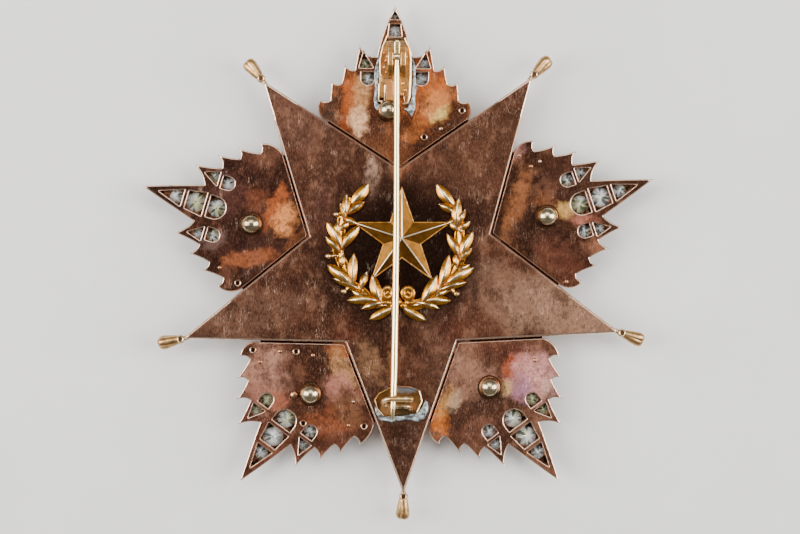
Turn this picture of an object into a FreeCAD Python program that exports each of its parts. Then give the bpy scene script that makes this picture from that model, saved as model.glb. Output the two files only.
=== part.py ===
import FreeCAD, Part
import math
import os

from FreeCAD import Placement, Rotation, Vector
import Sketcher

# Breast star of an order, lying face down, so that its plain back looks up.
# Millimetres. X to the right and Y up, as one looks at the back, and Z from the front to the back.
# The origin is the middle of the flat face of the front boss, on which the star rests.

DIMENSIONS = [
    # name, value
    ("tip_radius", 40.3),        # star plate, centre to the virtual point of an arm
    ("notch_radius", 16.7),      # centre to the inner corner between two arms
    ("blunt_radius", 39.7),      # where a finial's collar takes the place of the point
    ("core_top", 5.15),          # back of the faceted front body
    ("core_wall", 0.85),         # upright edge of the front body
    ("core_depth", 3.2),         # depth of the facets below that edge, at the centre
    ("core_small", 0.2),         # size of the facets' lowest section, of the whole star
    ("plate_bottom", 5.2),
    ("plate_thick", 1.0),
    ("plate_bevel", 0.22),
    ("boss_radius", 12.5),
    ("boss_step_radius", 14.2),
    ("boss_step", 1.3),
    ("boss_bevel", 0.5),
    ("boss_root", 0.9),          # from the back of the front body to where the boss's discs end in it
    ("leaf_back", 5.15),
    ("leaf_thick", 1.4),
    ("edge_gap", 0.3),           # open line between a leaf and the star's edge
    ("tongue_half", 1.75),
    ("tongue_thick", 0.7),
    ("tongue_inner", 13.9),
    ("pocket_play", 0.05),
    ("stud_shank", 0.65),
    ("stud_play", 0.05),
    ("stud_ball", 1.85),
    ("stud_ball_rise", 0.9),
    ("stud_washer", 2.1),
    ("stud_washer_thick", 0.3),
    ("stud_head", 1.7),
    ("stud_head_thick", 0.6),
    ("lobe_radius", 0.9),
    ("lobe_length", 4.15),
    ("lobe_neck", 0.6),
    ("lobe_lean", 7.0),
    ("collar_radius", 0.75),
    ("collar_long", 1.5),
    ("collar_overlap", 0.75),    # how far the lobes stand in the collar
    ("finial_gap", 0.05),
    ("finial_sink", 0.1),        # its axis below the joint between front body and back plate
    ("bud_drop", 15.0),          # degrees that a finial droops towards the front
    ("base_bottom", 5.19),
    ("base_thick", 0.8),
    ("lug_thick", 0.95),
    ("lug_gap", 1.25),
    ("lug_front", 1.75),
    ("lug_back", 3.1),
    ("axle_radius", 0.35),
    ("axle_play", 0.05),
    ("axle_height", 9.35),       # above the resting face
    ("axle_end", 0.15),          # how far the axle stands out of each lug
    ("lug_rise", 0.7),           # top of the lugs above the axle
    ("barrel_radius", 0.75),
    ("barrel_width", 1.05),
    ("heel_reach", 2.9),
    ("heel_thick", 0.9),
    ("pin_radius", 0.6),
    ("pin_neck", 0.5),
    ("pin_tip", 0.12),           # radius of the blunt tip
    ("catch_bottom", 6.24),
    ("catch_thick", 0.7),
    ("rim_height", 0.35),
    ("rim_width", 0.4),
    ("wire_radius", 0.45),
    ("hook_drop", 1.2),          # lower bar of the hook, below the pin's axis
    ("hook_lean", -30.0),        # degrees by which the top of the hook leans away from the pin's tip
    ("badge_bottom", 6.24),
    ("badge_star", 8.8),
    ("badge_ratio", 0.385),
    ("badge_star_rise", 1.6),
    ("badge_floor", 0.3),
]

ARMS = 5
STEP = 360.0 / ARMS
HALF_STEP = STEP / 2
SEEN_TURN = -0.8            # the fittings stand upright while the star leans by this angle
PIN_TURN = SEEN_TURN - 0.7

LEAVES = [
    # name, direction, turn of its points and their shift across and outward, stud across, stud outward
    ("top", 90.0, -1.2, -1.2, 0.15, -1.65, 27.1),
    ("left", 162.0, 0.5, 0.2, 0.5, -0.95, 27.0),
    ("lower_left", 234.0, -1.35, -0.05, 0.5, -0.25, 27.6),
    ("lower_right", 306.0, -0.3, 0.15, 0.3, 0.35, 26.6),
    ("right", 18.0, 0.0, 0.15, 0.05, 0.35, 27.1),
]

# One side of a leaf, from its long point inwards: across and outward, and the bend of the edge
# that leads there, given by a point half way along it.
LEAF_POINT = (0.0, 46.8)
TOP_LEAF_POINT = (0.0, 45.2)
LEAF_SIDE = [
    # bend across, bend outward, end across, end outward
    (2.1, 40.4, 3.3, 36.4),
    (4.9, 37.4, 6.2, 39.0),
    (6.5, 36.6, 7.0, 34.3),
    (8.1, 34.6, 9.0, 35.75),
    (9.1, 33.6, 9.45, 31.75),
    (10.5, 31.9, 11.15, 32.6),
    (11.15, 30.5, 11.4, 28.6),
    (12.35, 28.6, 13.0, 29.2),
]
TOP_LEAF_SIDE = [
    (1.84, 41.0, 3.15, 36.3),
    (4.85, 36.6, 6.15, 38.3),
    (6.6, 36.1, 7.0, 33.9),
    (7.95, 34.05, 8.75, 34.85),
    (8.95, 33.2, 9.35, 31.55),
    (10.3, 31.4, 11.05, 32.0),
    (11.15, 30.3, 11.3, 28.6),
    (12.2, 28.3, 13.0, 28.6),
]
LOBE_BEND = (13.45, 27.2)
LOBE_END = 12.35            # across, where the last lobe meets the star's edge line

# Openings behind the stones, across and outward. Cups have a straight outer end and a round inner one.
POINT_CELL = [(0.0, 43.7), (-1.45, 39.5), (1.45, 39.5)]
UPPER_CELL = [(-1.55, 38.6), (-2.05, 35.5), (2.05, 35.5), (1.55, 38.6)]
TOP_POINT_CELL = [(0.0, 44.4), (-0.8, 42.9), (0.8, 42.9)]
TOP_UPPER_CELL = [(-0.9, 42.0), (-1.15, 39.9), (1.15, 39.9), (0.9, 42.0)]
CUP_CELL = {"half": 1.9, "outer": 34.65, "waist": 33.55}
SIDE_CELL = [(5.45, 36.9), (3.85, 34.35), (6.2, 34.35)]
SIDE_CUP = {"across": 4.73, "half": 1.1, "outer": 33.55, "waist": 32.45}

STONES = [
    # name, across, outward, radius
    ("point", 0.0, 40.6, 1.25),
    ("upper", 0.0, 37.05, 1.8),
    ("middle", 0.0, 33.2, 1.65),
    ("side_left", -5.2, 35.1, 1.0),
    ("side_right", 5.2, 35.1, 1.0),
    ("lower_left", -4.73, 32.45, 1.2),
    ("lower_right", 4.73, 32.45, 1.2),
]
TOP_STONES = {"point": (0.0, 43.38, 0.6), "upper": (0.0, 40.8, 1.1)}
STONE_SIDES = 8
STONE_GIRDLE = 0.08         # of the radius, as the rest of these
STONE_CROWN = 0.36
STONE_TABLE = 0.56
STONE_DEPTH = 0.86
STONE_SINK = 0.38           # of the girdle below the leaf's front: the stones are wider than their openings

# Where along a lobe its side is bent, and how wide it is there, as parts of the lobe's own sizes.
BELLY_PLACE = 0.45
BELLY_SIZE = 0.85
LOBES = 3
FINIALS = [
    # name, direction, how far it points aside from its arm, roll of its three lobes
    ("upper_right", 54.0, -7.0, 40.0),
    ("upper_left", 126.0, 2.0, 100.0),
    ("left", 198.0, -8.0, 70.0),
    ("bottom", 270.0, -1.5, 30.0),
    ("right", 342.0, -3.0, 10.0),
]

# Laurel leaves. Place is the angle along the branch from the bottom of the wreath, lean is
# outwards from the branch's own direction.
LAUREL_LEFT = [
    # place, radius, lean, length, width
    (138, 12.1, 6, 4.0, 1.6),
    (123, 11.6, 26, 3.9, 1.2),
    (122, 11.4, 47, 2.7, 0.9),
    (130, 11.1, -15, 3.0, 1.2),
    (96, 10.3, 37, 4.9, 1.4),
    (92, 10.8, 45, 3.3, 1.1),
    (96, 9.9, -33, 4.7, 1.4),
    (58, 10.2, 20, 5.1, 1.6),
    (52, 9.9, 30, 4.2, 1.1),
    (57, 9.7, -35, 5.1, 1.4),
    (47, 8.9, -60, 2.9, 1.1),
    (22, 9.0, -50, 4.6, 1.6),
    (27, 9.4, 27, 4.9, 1.4),
    (21, 9.5, 38, 3.6, 1.1),
]
LAUREL_RIGHT = [
    # place, radius, lean, length, width
    (133, 12.6, 3, 4.3, 1.6),
    (128, 11.6, -23, 2.8, 1.1),
    (116, 11.1, 30, 4.6, 1.4),
    (117, 11.9, 49, 2.3, 1.1),
    (111, 11.7, 70, 1.9, 1.1),
    (88, 10.8, 25, 4.5, 1.4),
    (87, 10.2, -30, 4.3, 1.2),
    (85, 11.1, 37, 2.4, 1.1),
    (58, 10.0, 28, 5.2, 1.6),
    (52, 10.1, 37, 4.0, 1.1),
    (51, 9.1, -22, 5.5, 1.4),
    (26, 9.3, -34, 5.0, 1.6),
    (28, 9.6, 28, 4.4, 1.4),
    (24, 9.8, 40, 3.1, 1.1),
]
BERRIES = [
    # side, place, radius
    (-1, 121, 12.9),
    (-1, 87, 12.5),
    (-1, 55, 11.9),
    (1, 54, 12.3),
]
RIBBON_TAILS = [
    # end across, end up, from the knot
    (-5.0, -2.7),
    (4.9, -2.9),
]
# Where along its length a blade is widest, and where the star's upper points are tied to the wreath.
LEAF_WIDE_FROM = 0.32
LEAF_WIDE_TO = 0.68
STEM_RADIUS = 8.9
STEM_GROWTH = 0.016
STEM_FLARE = 0.0006
STEM_FLARE_FROM = 85
STEM_HALF_WIDTH = 0.42
STEM_FROM = 6
STEM_TO = 138
STEM_PIECE = 12
STEM_LAP = 0.2
STEM_RISE = 0.75
BLADE_ROOT = 0.9            # how far a blade runs back under the stem
BLADE_RISE = 1.25           # blades lie at several heights in turn
BLADE_LEVELS = 4
BLADE_LEVEL_STEP = 0.09
TIES = [18.0, 162.0]
TIE_ROOT = 0.8
TIE_LENGTH = 3.4
TIE_WIDTH = 1.3
TIE_RISE = 0.85
BERRY_RADIUS = 0.62
BERRY_TOP_RADIUS = 0.35
BERRY_RISE = 1.0
STALK_LENGTH = 1.9
STALK_WIDTH = 0.7
STALK_RISE = 0.62
WREATH_CENTRE = Vector(-0.1, 2.1, 0)
BADGE_STAR_CENTRE = Vector(0.3, 4.6, 0)
KNOT_CENTRE = Vector(-0.4, -6.9, 0)
BOW_LOOPS = [(-1.75, 1.9), (1.75, 1.9)]
BOW_RADIUS = 1.5
BOW_TOP_RADIUS = 1.05
BOW_RISE = 1.15
KNOT_RADIUS = 1.3
KNOT_TOP_RADIUS = 0.8
KNOT_RISE = 1.3
TAIL_WIDTH = 1.7
TAIL_RISE = 0.95

HINGE_PLACE = Vector(-0.06, 36.12, 0)
# Outline of the hinge's base, seen along the pin with the axle at the origin.
HINGE_BASE = [
    # across, up
    (-2.3, 3.0),
    (1.75, 3.0),
    (2.35, 0.9),
    (2.45, -3.2),
    (2.2, -7.9),
    (1.4, -7.9),
    (1.2, -6.6),
    (-2.0, -6.6),
    (-2.1, -6.95),
    (-3.1, -6.95),
    (-3.0, -2.8),
    (-2.9, 1.0),
]
HINGE_CHEEKS = [
    # across at the upper end, upper end, across at the lower end, lower end
    (-2.65, 1.4, -2.8, -2.8),
    (2.1, 1.4, 2.1, -7.7),
]
CHEEK_WIDE = 0.35
CHEEK_RISE = 0.5
LUG_FRONT_CUT = 0.9         # corner cut off the upper end of a lug, and its lower end
LUG_BACK_CUT = (1.6, 1.4)

# Radius of the pin at distances from the axle.
PIN_PROFILE = [
    # radius, distance
    ("pin_neck", 17.0),
    ("pin_radius", 31.0),
    ("pin_radius", 57.0),
    ("pin_neck", 61.3),
    ("pin_tip", 63.3),
]

CATCH_PLACE = Vector(-0.55, -24.08, 0)
CATCH_OUTLINE = [
    # across, up
    (-4.4, 0.35),
    (-3.6, 1.6),
    (-1.2, 2.9),
    (1.9, 2.8),
    (3.7, 2.1),
    (4.2, 0.2),
    (3.3, -1.9),
    (-2.8, -2.6),
    (-3.85, -1.4),
]
# The hook, seen along the pin: middle of the closed pin, the wire's bends, its foot and its free end.
HOOK_PIN = -1.0
HOOK_SLACK = 0.35
HOOK_CORNER = 0.6
HOOK_FOOT = 1.9
HOOK_END = 2.3

doc = FreeCAD.newDocument("breast_star")
sheet = doc.addObject("Spreadsheet::Sheet", "dims")
for row, (name, value) in enumerate(DIMENSIONS, start=1):
    sheet.set("A%d" % row, name)
    sheet.set("B%d" % row, str(value))
    sheet.setAlias("B%d" % row, name)
doc.recompute()

nodes = []


def dim(name):
    """Value of one driving dimension."""
    return float(sheet.get(name))


def keep(thing, name):
    """Give a sub-part its label, which also names its file."""
    thing.Label = name
    nodes.append(thing)
    return thing


def new_body(name):
    return keep(doc.addObject("PartDesign::Body", name), name)


def origin_part(body, role):
    for feature in body.Origin.OriginFeatures:
        if feature.Role == role:
            return feature
    raise LookupError(role)


def new_sketch(body, name, height=None, role="XY_Plane"):
    """Sketch on one of the body's own planes, lifted along it by the named height."""
    sketch = body.newObject("Sketcher::SketchObject", name)
    sketch.AttachmentSupport = (origin_part(body, role), "")
    sketch.MapMode = "FlatFace"
    if height:
        sketch.setExpression("AttachmentOffset.Base.z", height)
    return sketch


def new_feature(body, kind, name, sketch=None, **expressions):
    feature = body.newObject("PartDesign::" + kind, name)
    if sketch is not None:
        feature.Profile = sketch
    for field, expression in expressions.items():
        feature.setExpression(field, expression)
    return feature


def around(body, feature, sketch, name):
    """Repeat a feature for the five arms."""
    pattern = body.newObject("PartDesign::PolarPattern", name)
    pattern.Originals = [feature]
    pattern.Axis = (sketch, ["N_Axis"])
    pattern.Angle = 360
    pattern.Occurrences = ARMS
    body.Tip = pattern
    doc.recompute()
    return pattern


def flat(across, up, turn=0.0):
    """Point in the plane, turned about the centre by degrees."""
    return Rotation(Vector(0, 0, 1), turn).multVec(Vector(across, up, 0))


def add_corners(sketch, points):
    """Closed outline of straight edges."""
    for start, end in zip(points, points[1:] + points[:1]):
        sketch.addGeometry(Part.LineSegment(start, end), False)


def star_edge_point(across, gap):
    """Point beside the star's edge, in the frame of a leaf, at a gap from that edge."""
    inner = Vector(0, dim("notch_radius"), 0)
    half = math.radians(HALF_STEP)
    outer = Vector(math.sin(half), math.cos(half), 0) * dim("tip_radius")
    along = (outer - inner).normalize()
    start = inner + Vector(-along.y, along.x, 0) * gap
    return start + along * ((across - start.x) / along.x)


def arm_outline(sketch, scale=None):
    """Kite of the lower arm, from the centre, bound to the sheet."""
    factor = dim(scale) if scale else 1.0
    half = math.radians(HALF_STEP)
    notch = dim("notch_radius") * factor
    side = notch * math.sin(half)
    drop = notch * math.cos(half)
    reach = dim("tip_radius") * factor
    blunt = dim("blunt_radius") * factor
    width = side * (reach - blunt) / (reach - drop)
    corners = [
        Vector(0, 0, 0),
        Vector(side, -drop, 0),
        Vector(width, -blunt, 0),
        Vector(-width, -blunt, 0),
        Vector(-side, -drop, 0),
    ]
    add_corners(sketch, corners)
    for edge in range(len(corners)):
        following = (edge + 1) % len(corners)
        sketch.addConstraint(Sketcher.Constraint("Coincident", edge, 2, following, 1))
    sketch.addConstraint(Sketcher.Constraint("Coincident", 0, 1, -1, 1))
    sketch.addConstraint(Sketcher.Constraint("Symmetric", 0, 2, 3, 2, -2))
    sketch.addConstraint(Sketcher.Constraint("Symmetric", 1, 2, 2, 2, -2))
    times = "dims.%s * " % scale if scale else ""
    notch_side = "dims.notch_radius * sin(%g)" % HALF_STEP
    notch_drop = "dims.notch_radius * cos(%g)" % HALF_STEP
    blunt_width = "2 * %s * (dims.tip_radius - dims.blunt_radius) / (dims.tip_radius - %s)" % (
        notch_side, notch_drop)
    sizes = [
        ("DistanceX", -1, 1, 0, 2, side, times + notch_side),
        ("DistanceY", 0, 2, -1, 1, drop, times + notch_drop),
        ("DistanceY", 1, 2, -1, 1, blunt, times + "dims.blunt_radius"),
        ("DistanceX", 2, 2, 1, 2, 2 * width, times + blunt_width),
    ]
    for kind, first, first_end, second, second_end, value, expression in sizes:
        constraint = Sketcher.Constraint(kind, first, first_end, second, second_end, value)
        number = sketch.addConstraint(constraint)
        sketch.setExpression("Constraints[%d]" % number, expression)


def bevel(body, name, height, size):
    """Small bevel along the whole outline of the flat face at a height."""
    faces = body.Shape.Faces
    level = [
        "Face%d" % (number + 1)
        for number, face in enumerate(faces)
        if face.BoundBox.ZLength < 1e-6 and abs(face.BoundBox.ZMax - height) < 1e-6
    ]
    solid = body.Tip
    edge = body.newObject("PartDesign::Chamfer", name)
    edge.Base = (solid, level)
    edge.setExpression("Size", size)
    body.Tip = edge
    doc.recompute()


def make_star_back():
    body = new_body("star_back")
    sketch = new_sketch(body, "back_arm", "dims.plate_bottom")
    arm_outline(sketch)
    pad = new_feature(body, "Pad", "back_pad", sketch, Length="dims.plate_thick")
    doc.recompute()
    around(body, pad, sketch, "back_arms")
    bevel(body, "back_bevel", dim("plate_bottom") + dim("plate_thick"), "dims.plate_bevel")


def make_star_front():
    """Five ridged arms round a plain raised boss, with a recess for the tongue of each leaf."""
    body = new_body("star_front")
    wall_sketch = new_sketch(body, "front_arm", "dims.core_top - dims.core_wall")
    arm_outline(wall_sketch)
    wall = new_feature(body, "Pad", "front_wall", wall_sketch, Length="dims.core_wall")
    doc.recompute()
    around(body, wall, wall_sketch, "front_walls")
    wide = new_sketch(body, "facet_wide", "dims.core_top - dims.core_wall")
    arm_outline(wide)
    small = new_sketch(
        body, "facet_small",
        "dims.core_top - dims.core_wall - dims.core_depth * (1 - dims.core_small)")
    arm_outline(small, "core_small")
    facets = new_feature(body, "AdditiveLoft", "facets", wide)
    facets.Sections = [small]
    facets.Ruled = True
    doc.recompute()
    around(body, facets, wide, "facets_round")
    for name, radius, start in (
        ("boss_step_disc", "dims.boss_step_radius", "dims.boss_step"),
        ("boss_disc", "dims.boss_radius", "0"),
    ):
        disc = body.newObject("PartDesign::AdditiveCylinder", name)
        disc.setExpression("Radius", radius)
        disc.setExpression("Height", "dims.core_top - dims.boss_root - %s" % start)
        disc.setExpression("Placement.Base.z", start)
        doc.recompute()
    bevel(body, "boss_edge", 0.0, "dims.boss_bevel")
    half = dim("tongue_half") + dim("pocket_play")
    recess = new_sketch(body, "tongue_recess", "dims.core_top")
    add_corners(recess, [
        Vector(-half, dim("tongue_inner") - dim("pocket_play"), 0),
        Vector(half, dim("tongue_inner") - dim("pocket_play"), 0),
        Vector(half, dim("notch_radius") + half, 0),
        Vector(-half, dim("notch_radius") + half, 0),
    ])
    cut = new_feature(body, "Pocket", "recess_cut", recess,
                      Length="dims.tongue_thick + dims.pocket_play")
    doc.recompute()
    around(body, cut, recess, "recesses")


def add_leaf_outline(sketch, name, turn, shift):
    """Toothed edge of one leaf. Its inner edges keep beside the star, whatever its turn."""
    def placed(across, outward, side):
        return flat(across * side, outward, turn) + shift

    rows = TOP_LEAF_SIDE if name == "top" else LEAF_SIDE
    point = TOP_LEAF_POINT if name == "top" else LEAF_POINT
    for side in (1, -1):
        start = placed(*point, side)
        for bend_across, bend_out, end_across, end_out in rows:
            bend = placed(bend_across, bend_out, side)
            end = placed(end_across, end_out, side)
            sketch.addGeometry(Part.Arc(start, bend, end), False)
            start = end
        foot = star_edge_point(LOBE_END, dim("edge_gap"))
        foot.x *= side
        sketch.addGeometry(Part.Arc(start, placed(*LOBE_BEND, side), foot), False)
        neck = star_edge_point(dim("tongue_half"), dim("edge_gap"))
        neck.x *= side
        sketch.addGeometry(Part.LineSegment(foot, neck), False)
    left = star_edge_point(dim("tongue_half"), dim("edge_gap"))
    right = Vector(-left.x, left.y, 0)
    sketch.addGeometry(Part.LineSegment(left, right), False)


def add_cup(sketch, across, half, outer, waist, turn, shift):
    """Opening with a straight outer end and a round inner one."""
    corners = [flat(across + half, waist, turn), flat(across + half, outer, turn),
               flat(across - half, outer, turn), flat(across - half, waist, turn)]
    corners = [corner + shift for corner in corners]
    for start, end in zip(corners, corners[1:]):
        sketch.addGeometry(Part.LineSegment(start, end), False)
    bottom = flat(across, waist - half, turn) + shift
    sketch.addGeometry(Part.Arc(corners[-1], bottom, corners[0]), False)


def make_leaf(name, direction, turn, shift, stud_across, stud_out):
    body = new_body("leaf_" + name)
    outline = new_sketch(body, name + "_outline", "dims.leaf_back - dims.leaf_thick")
    add_leaf_outline(outline, name, turn, shift)
    new_feature(body, "Pad", name + "_plate", outline, Length="dims.leaf_thick")
    doc.recompute()
    tongue = new_sketch(body, name + "_tongue", "dims.leaf_back - dims.tongue_thick")
    half = dim("tongue_half")
    overlap = dim("notch_radius") + 2 * half
    add_corners(tongue, [
        Vector(-half, dim("tongue_inner"), 0),
        Vector(half, dim("tongue_inner"), 0),
        Vector(half, overlap, 0),
        Vector(-half, overlap, 0),
    ])
    new_feature(body, "Pad", name + "_tongue_pad", tongue, Length="dims.tongue_thick")
    doc.recompute()
    cells = new_sketch(body, name + "_cells", "dims.leaf_back")
    point_cell = TOP_POINT_CELL if name == "top" else POINT_CELL
    upper_cell = TOP_UPPER_CELL if name == "top" else UPPER_CELL
    for cell in (point_cell, upper_cell):
        add_corners(cells, [flat(x, y, turn) + shift for x, y in cell])
    add_cup(cells, 0.0, CUP_CELL["half"], CUP_CELL["outer"], CUP_CELL["waist"], turn, shift)
    for side in (1, -1):
        add_corners(cells, [flat(x * side, y, turn) + shift for x, y in SIDE_CELL])
        add_cup(cells, SIDE_CUP["across"] * side, SIDE_CUP["half"], SIDE_CUP["outer"],
                SIDE_CUP["waist"], turn, shift)
    hole = Part.Circle(Vector(stud_across, stud_out, 0), Vector(0, 0, 1),
                       dim("stud_shank") + dim("stud_play"))
    cells.addGeometry(hole, False)
    before = body.Shape.Volume
    cut = new_feature(body, "Pocket", name + "_openings", cells)
    cut.Type = "ThroughAll"
    doc.recompute()
    if math.isclose(body.Shape.Volume, before):
        raise ValueError("the openings of leaf %s cut nothing" % name)
    body.Placement = Placement(Vector(0, 0, 0), Rotation(Vector(0, 0, 1), direction - 90))


def make_stud(name, direction, stud_across, stud_out):
    """Ball nut behind the leaf, on a shank with a flat round head in front."""
    ball = doc.addObject("Part::Sphere", name + "_ball")
    ball.setExpression("Radius", "dims.stud_ball")
    ball.setExpression("Placement.Base.z", "dims.leaf_back + dims.stud_ball_rise")
    ball.setExpression(
        "Angle1", "-asin((dims.stud_ball_rise - dims.stud_washer_thick / 2) / dims.stud_ball)")
    parts = [ball]
    for part_name, radius, start, end in (
        ("washer", "dims.stud_washer", "dims.leaf_back + dims.stud_play",
         "dims.leaf_back + dims.stud_washer_thick"),
        ("shank", "dims.stud_shank",
         "dims.leaf_back - dims.leaf_thick - dims.stud_head_thick",
         "dims.leaf_back + dims.stud_ball_rise"),
        ("head", "dims.stud_head",
         "dims.leaf_back - dims.leaf_thick - dims.stud_play - dims.stud_head_thick",
         "dims.leaf_back - dims.leaf_thick - dims.stud_play"),
    ):
        piece = doc.addObject("Part::Cylinder", "%s_%s" % (name, part_name))
        piece.setExpression("Radius", radius)
        piece.setExpression("Height", "(%s) - (%s)" % (end, start))
        piece.setExpression("Placement.Base.z", start)
        parts.append(piece)
    stud = doc.addObject("Part::MultiFuse", name + "_stud")
    stud.Shapes = parts
    place = flat(stud_across, stud_out, direction - 90)
    stud.Placement = Placement(place, Rotation())
    keep(stud, "stud_" + name)


def cut_stone(radius):
    """Octagonal cut stone with its girdle at the origin and its table towards the front."""
    table = radius * STONE_TABLE
    low = -radius * STONE_GIRDLE / 2
    high = -low
    levels = [
        (table, low - radius * STONE_CROWN),
        (radius, low),
        (radius, high),
    ]
    rings = []
    for ring_radius, height in levels:
        ring = []
        for side in range(STONE_SIDES):
            angle = 2 * math.pi * (side + 0.5) / STONE_SIDES
            ring.append(Vector(ring_radius * math.cos(angle), ring_radius * math.sin(angle), height))
        rings.append(ring)
    culet = Vector(0, 0, high + radius * STONE_DEPTH)
    faces = [Part.Face(Part.makePolygon(rings[0] + rings[0][:1]))]
    for side in range(STONE_SIDES):
        following = (side + 1) % STONE_SIDES
        for lower, upper in zip(rings, rings[1:]):
            loop = [lower[side], lower[following], upper[following], upper[side], lower[side]]
            faces.append(Part.Face(Part.makePolygon(loop)))
        loop = [rings[-1][side], rings[-1][following], culet, rings[-1][side]]
        faces.append(Part.Face(Part.makePolygon(loop)))
    return Part.makeSolid(Part.makeShell(faces))


def make_stones(name, direction, turn, shift):
    front = dim("leaf_back") - dim("leaf_thick")
    for stone_name, across, outward, radius in STONES:
        if name == "top" and stone_name in TOP_STONES:
            across, outward, radius = TOP_STONES[stone_name]
        stone = doc.addObject("Part::Feature", "%s_%s_stone" % (name, stone_name))
        stone.Shape = cut_stone(radius)
        place = flat(across, outward, turn) + shift
        place = flat(place.x, place.y, direction - 90)
        place.z = front - STONE_SINK - radius * STONE_GIRDLE / 2
        stone.Placement = Placement(place, Rotation(Vector(0, 0, 1), direction + turn))
        keep(stone, "stone_%s_%s" % (name, stone_name))


def make_finial(name, direction, aside, roll):
    """Three-lobed bud on a small collar, drooping towards the front. Its axis is the body's Z."""
    body = new_body("finial_" + name)
    lobe = new_sketch(body, name + "_lobe", role="XZ_Plane")
    lean = math.radians(dim("lobe_lean"))
    radius = dim("lobe_radius")
    reach = dim("lobe_length") - radius

    def leaning(along, aside):
        return Vector(along * math.sin(lean) + aside * math.cos(lean),
                      along * math.cos(lean) - aside * math.sin(lean), 0)

    neck = leaning(0, dim("lobe_neck"))
    shoulder = leaning(reach, radius)
    end = leaning(reach + radius, 0)
    bend = math.radians(45)
    middle = leaning(reach + radius * math.sin(bend), radius * math.cos(bend))
    belly = leaning(reach * BELLY_PLACE, radius * BELLY_SIZE)
    start = leaning(0, 0)
    lobe.addGeometry(Part.LineSegment(start, neck), False)
    lobe.addGeometry(Part.Arc(neck, belly, shoulder), False)
    lobe.addGeometry(Part.Arc(shoulder, middle, end), False)
    lobe.addGeometry(Part.LineSegment(end, start), False)
    lobe.addGeometry(Part.LineSegment(start, end), True)
    turned = new_feature(body, "Revolution", name + "_turned", lobe)
    turned.ReferenceAxis = (lobe, ["Axis0"])
    turned.Angle = 360
    doc.recompute()
    pattern = body.newObject("PartDesign::PolarPattern", name + "_lobes")
    pattern.Originals = [turned]
    pattern.Axis = (origin_part(body, "Z_Axis"), [""])
    pattern.Angle = 360
    pattern.Occurrences = LOBES
    body.Tip = pattern
    doc.recompute()
    collar = body.newObject("PartDesign::AdditiveCylinder", name + "_collar")
    collar.setExpression("Radius", "dims.collar_radius")
    collar.setExpression("Height", "dims.collar_long")
    collar.setExpression("Placement.Base.z", "dims.collar_overlap - dims.collar_long")
    doc.recompute()
    outward = flat(1, 0, direction)
    axis = Rotation(Vector(0, 0, 1), direction + aside).multiply(
        Rotation(Vector(0, 1, 0), 90 + dim("bud_drop")))
    spin = Rotation(Vector(0, 0, 1), roll)
    neck_radius = dim("blunt_radius") + dim("collar_long") - dim("collar_overlap")
    tilt_reach = dim("collar_radius") * math.sin(math.radians(dim("bud_drop")))
    place = outward * (neck_radius + tilt_reach + dim("finial_gap"))
    place.z = dim("core_top") - dim("finial_sink")
    body.Placement = Placement(place, axis.multiply(spin))


def laurel_leaf(base, tip, width, floor, rise):
    """Blade with parallel sides and a raised middle, pointed at both ends."""
    along = (tip - base).normalize()
    aside = Vector(-along.y, along.x, 0) * (width / 2)
    sink = Vector(0, 0, floor)
    lift = Vector(0, 0, rise)
    wide = base + (tip - base) * LEAF_WIDE_FROM
    narrow = base + (tip - base) * LEAF_WIDE_TO
    start = base + sink
    end = tip + sink
    left = [wide + aside + sink, narrow + aside + sink]
    right = [wide - aside + sink, narrow - aside + sink]
    ridge = [wide + lift, narrow + lift]
    loops = [
        [start, left[0], left[1], end, right[1], right[0]],
        [start, left[0], ridge[0]],
        [left[0], left[1], ridge[1], ridge[0]],
        [left[1], end, ridge[1]],
        [end, right[1], ridge[1]],
        [right[1], right[0], ridge[0], ridge[1]],
        [right[0], start, ridge[0]],
    ]
    faces = [Part.Face(Part.makePolygon(loop + loop[:1])) for loop in loops]
    return Part.makeSolid(Part.makeShell(faces))


def branch_frame(side, place, radius):
    """Point of a branch and its own directions: along it and outwards."""
    angle = math.radians(place)
    outward = Vector(side * math.sin(angle), -math.cos(angle), 0)
    along = Vector(side * math.cos(angle), math.sin(angle), 0)
    return WREATH_CENTRE + outward * radius, along, outward


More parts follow.
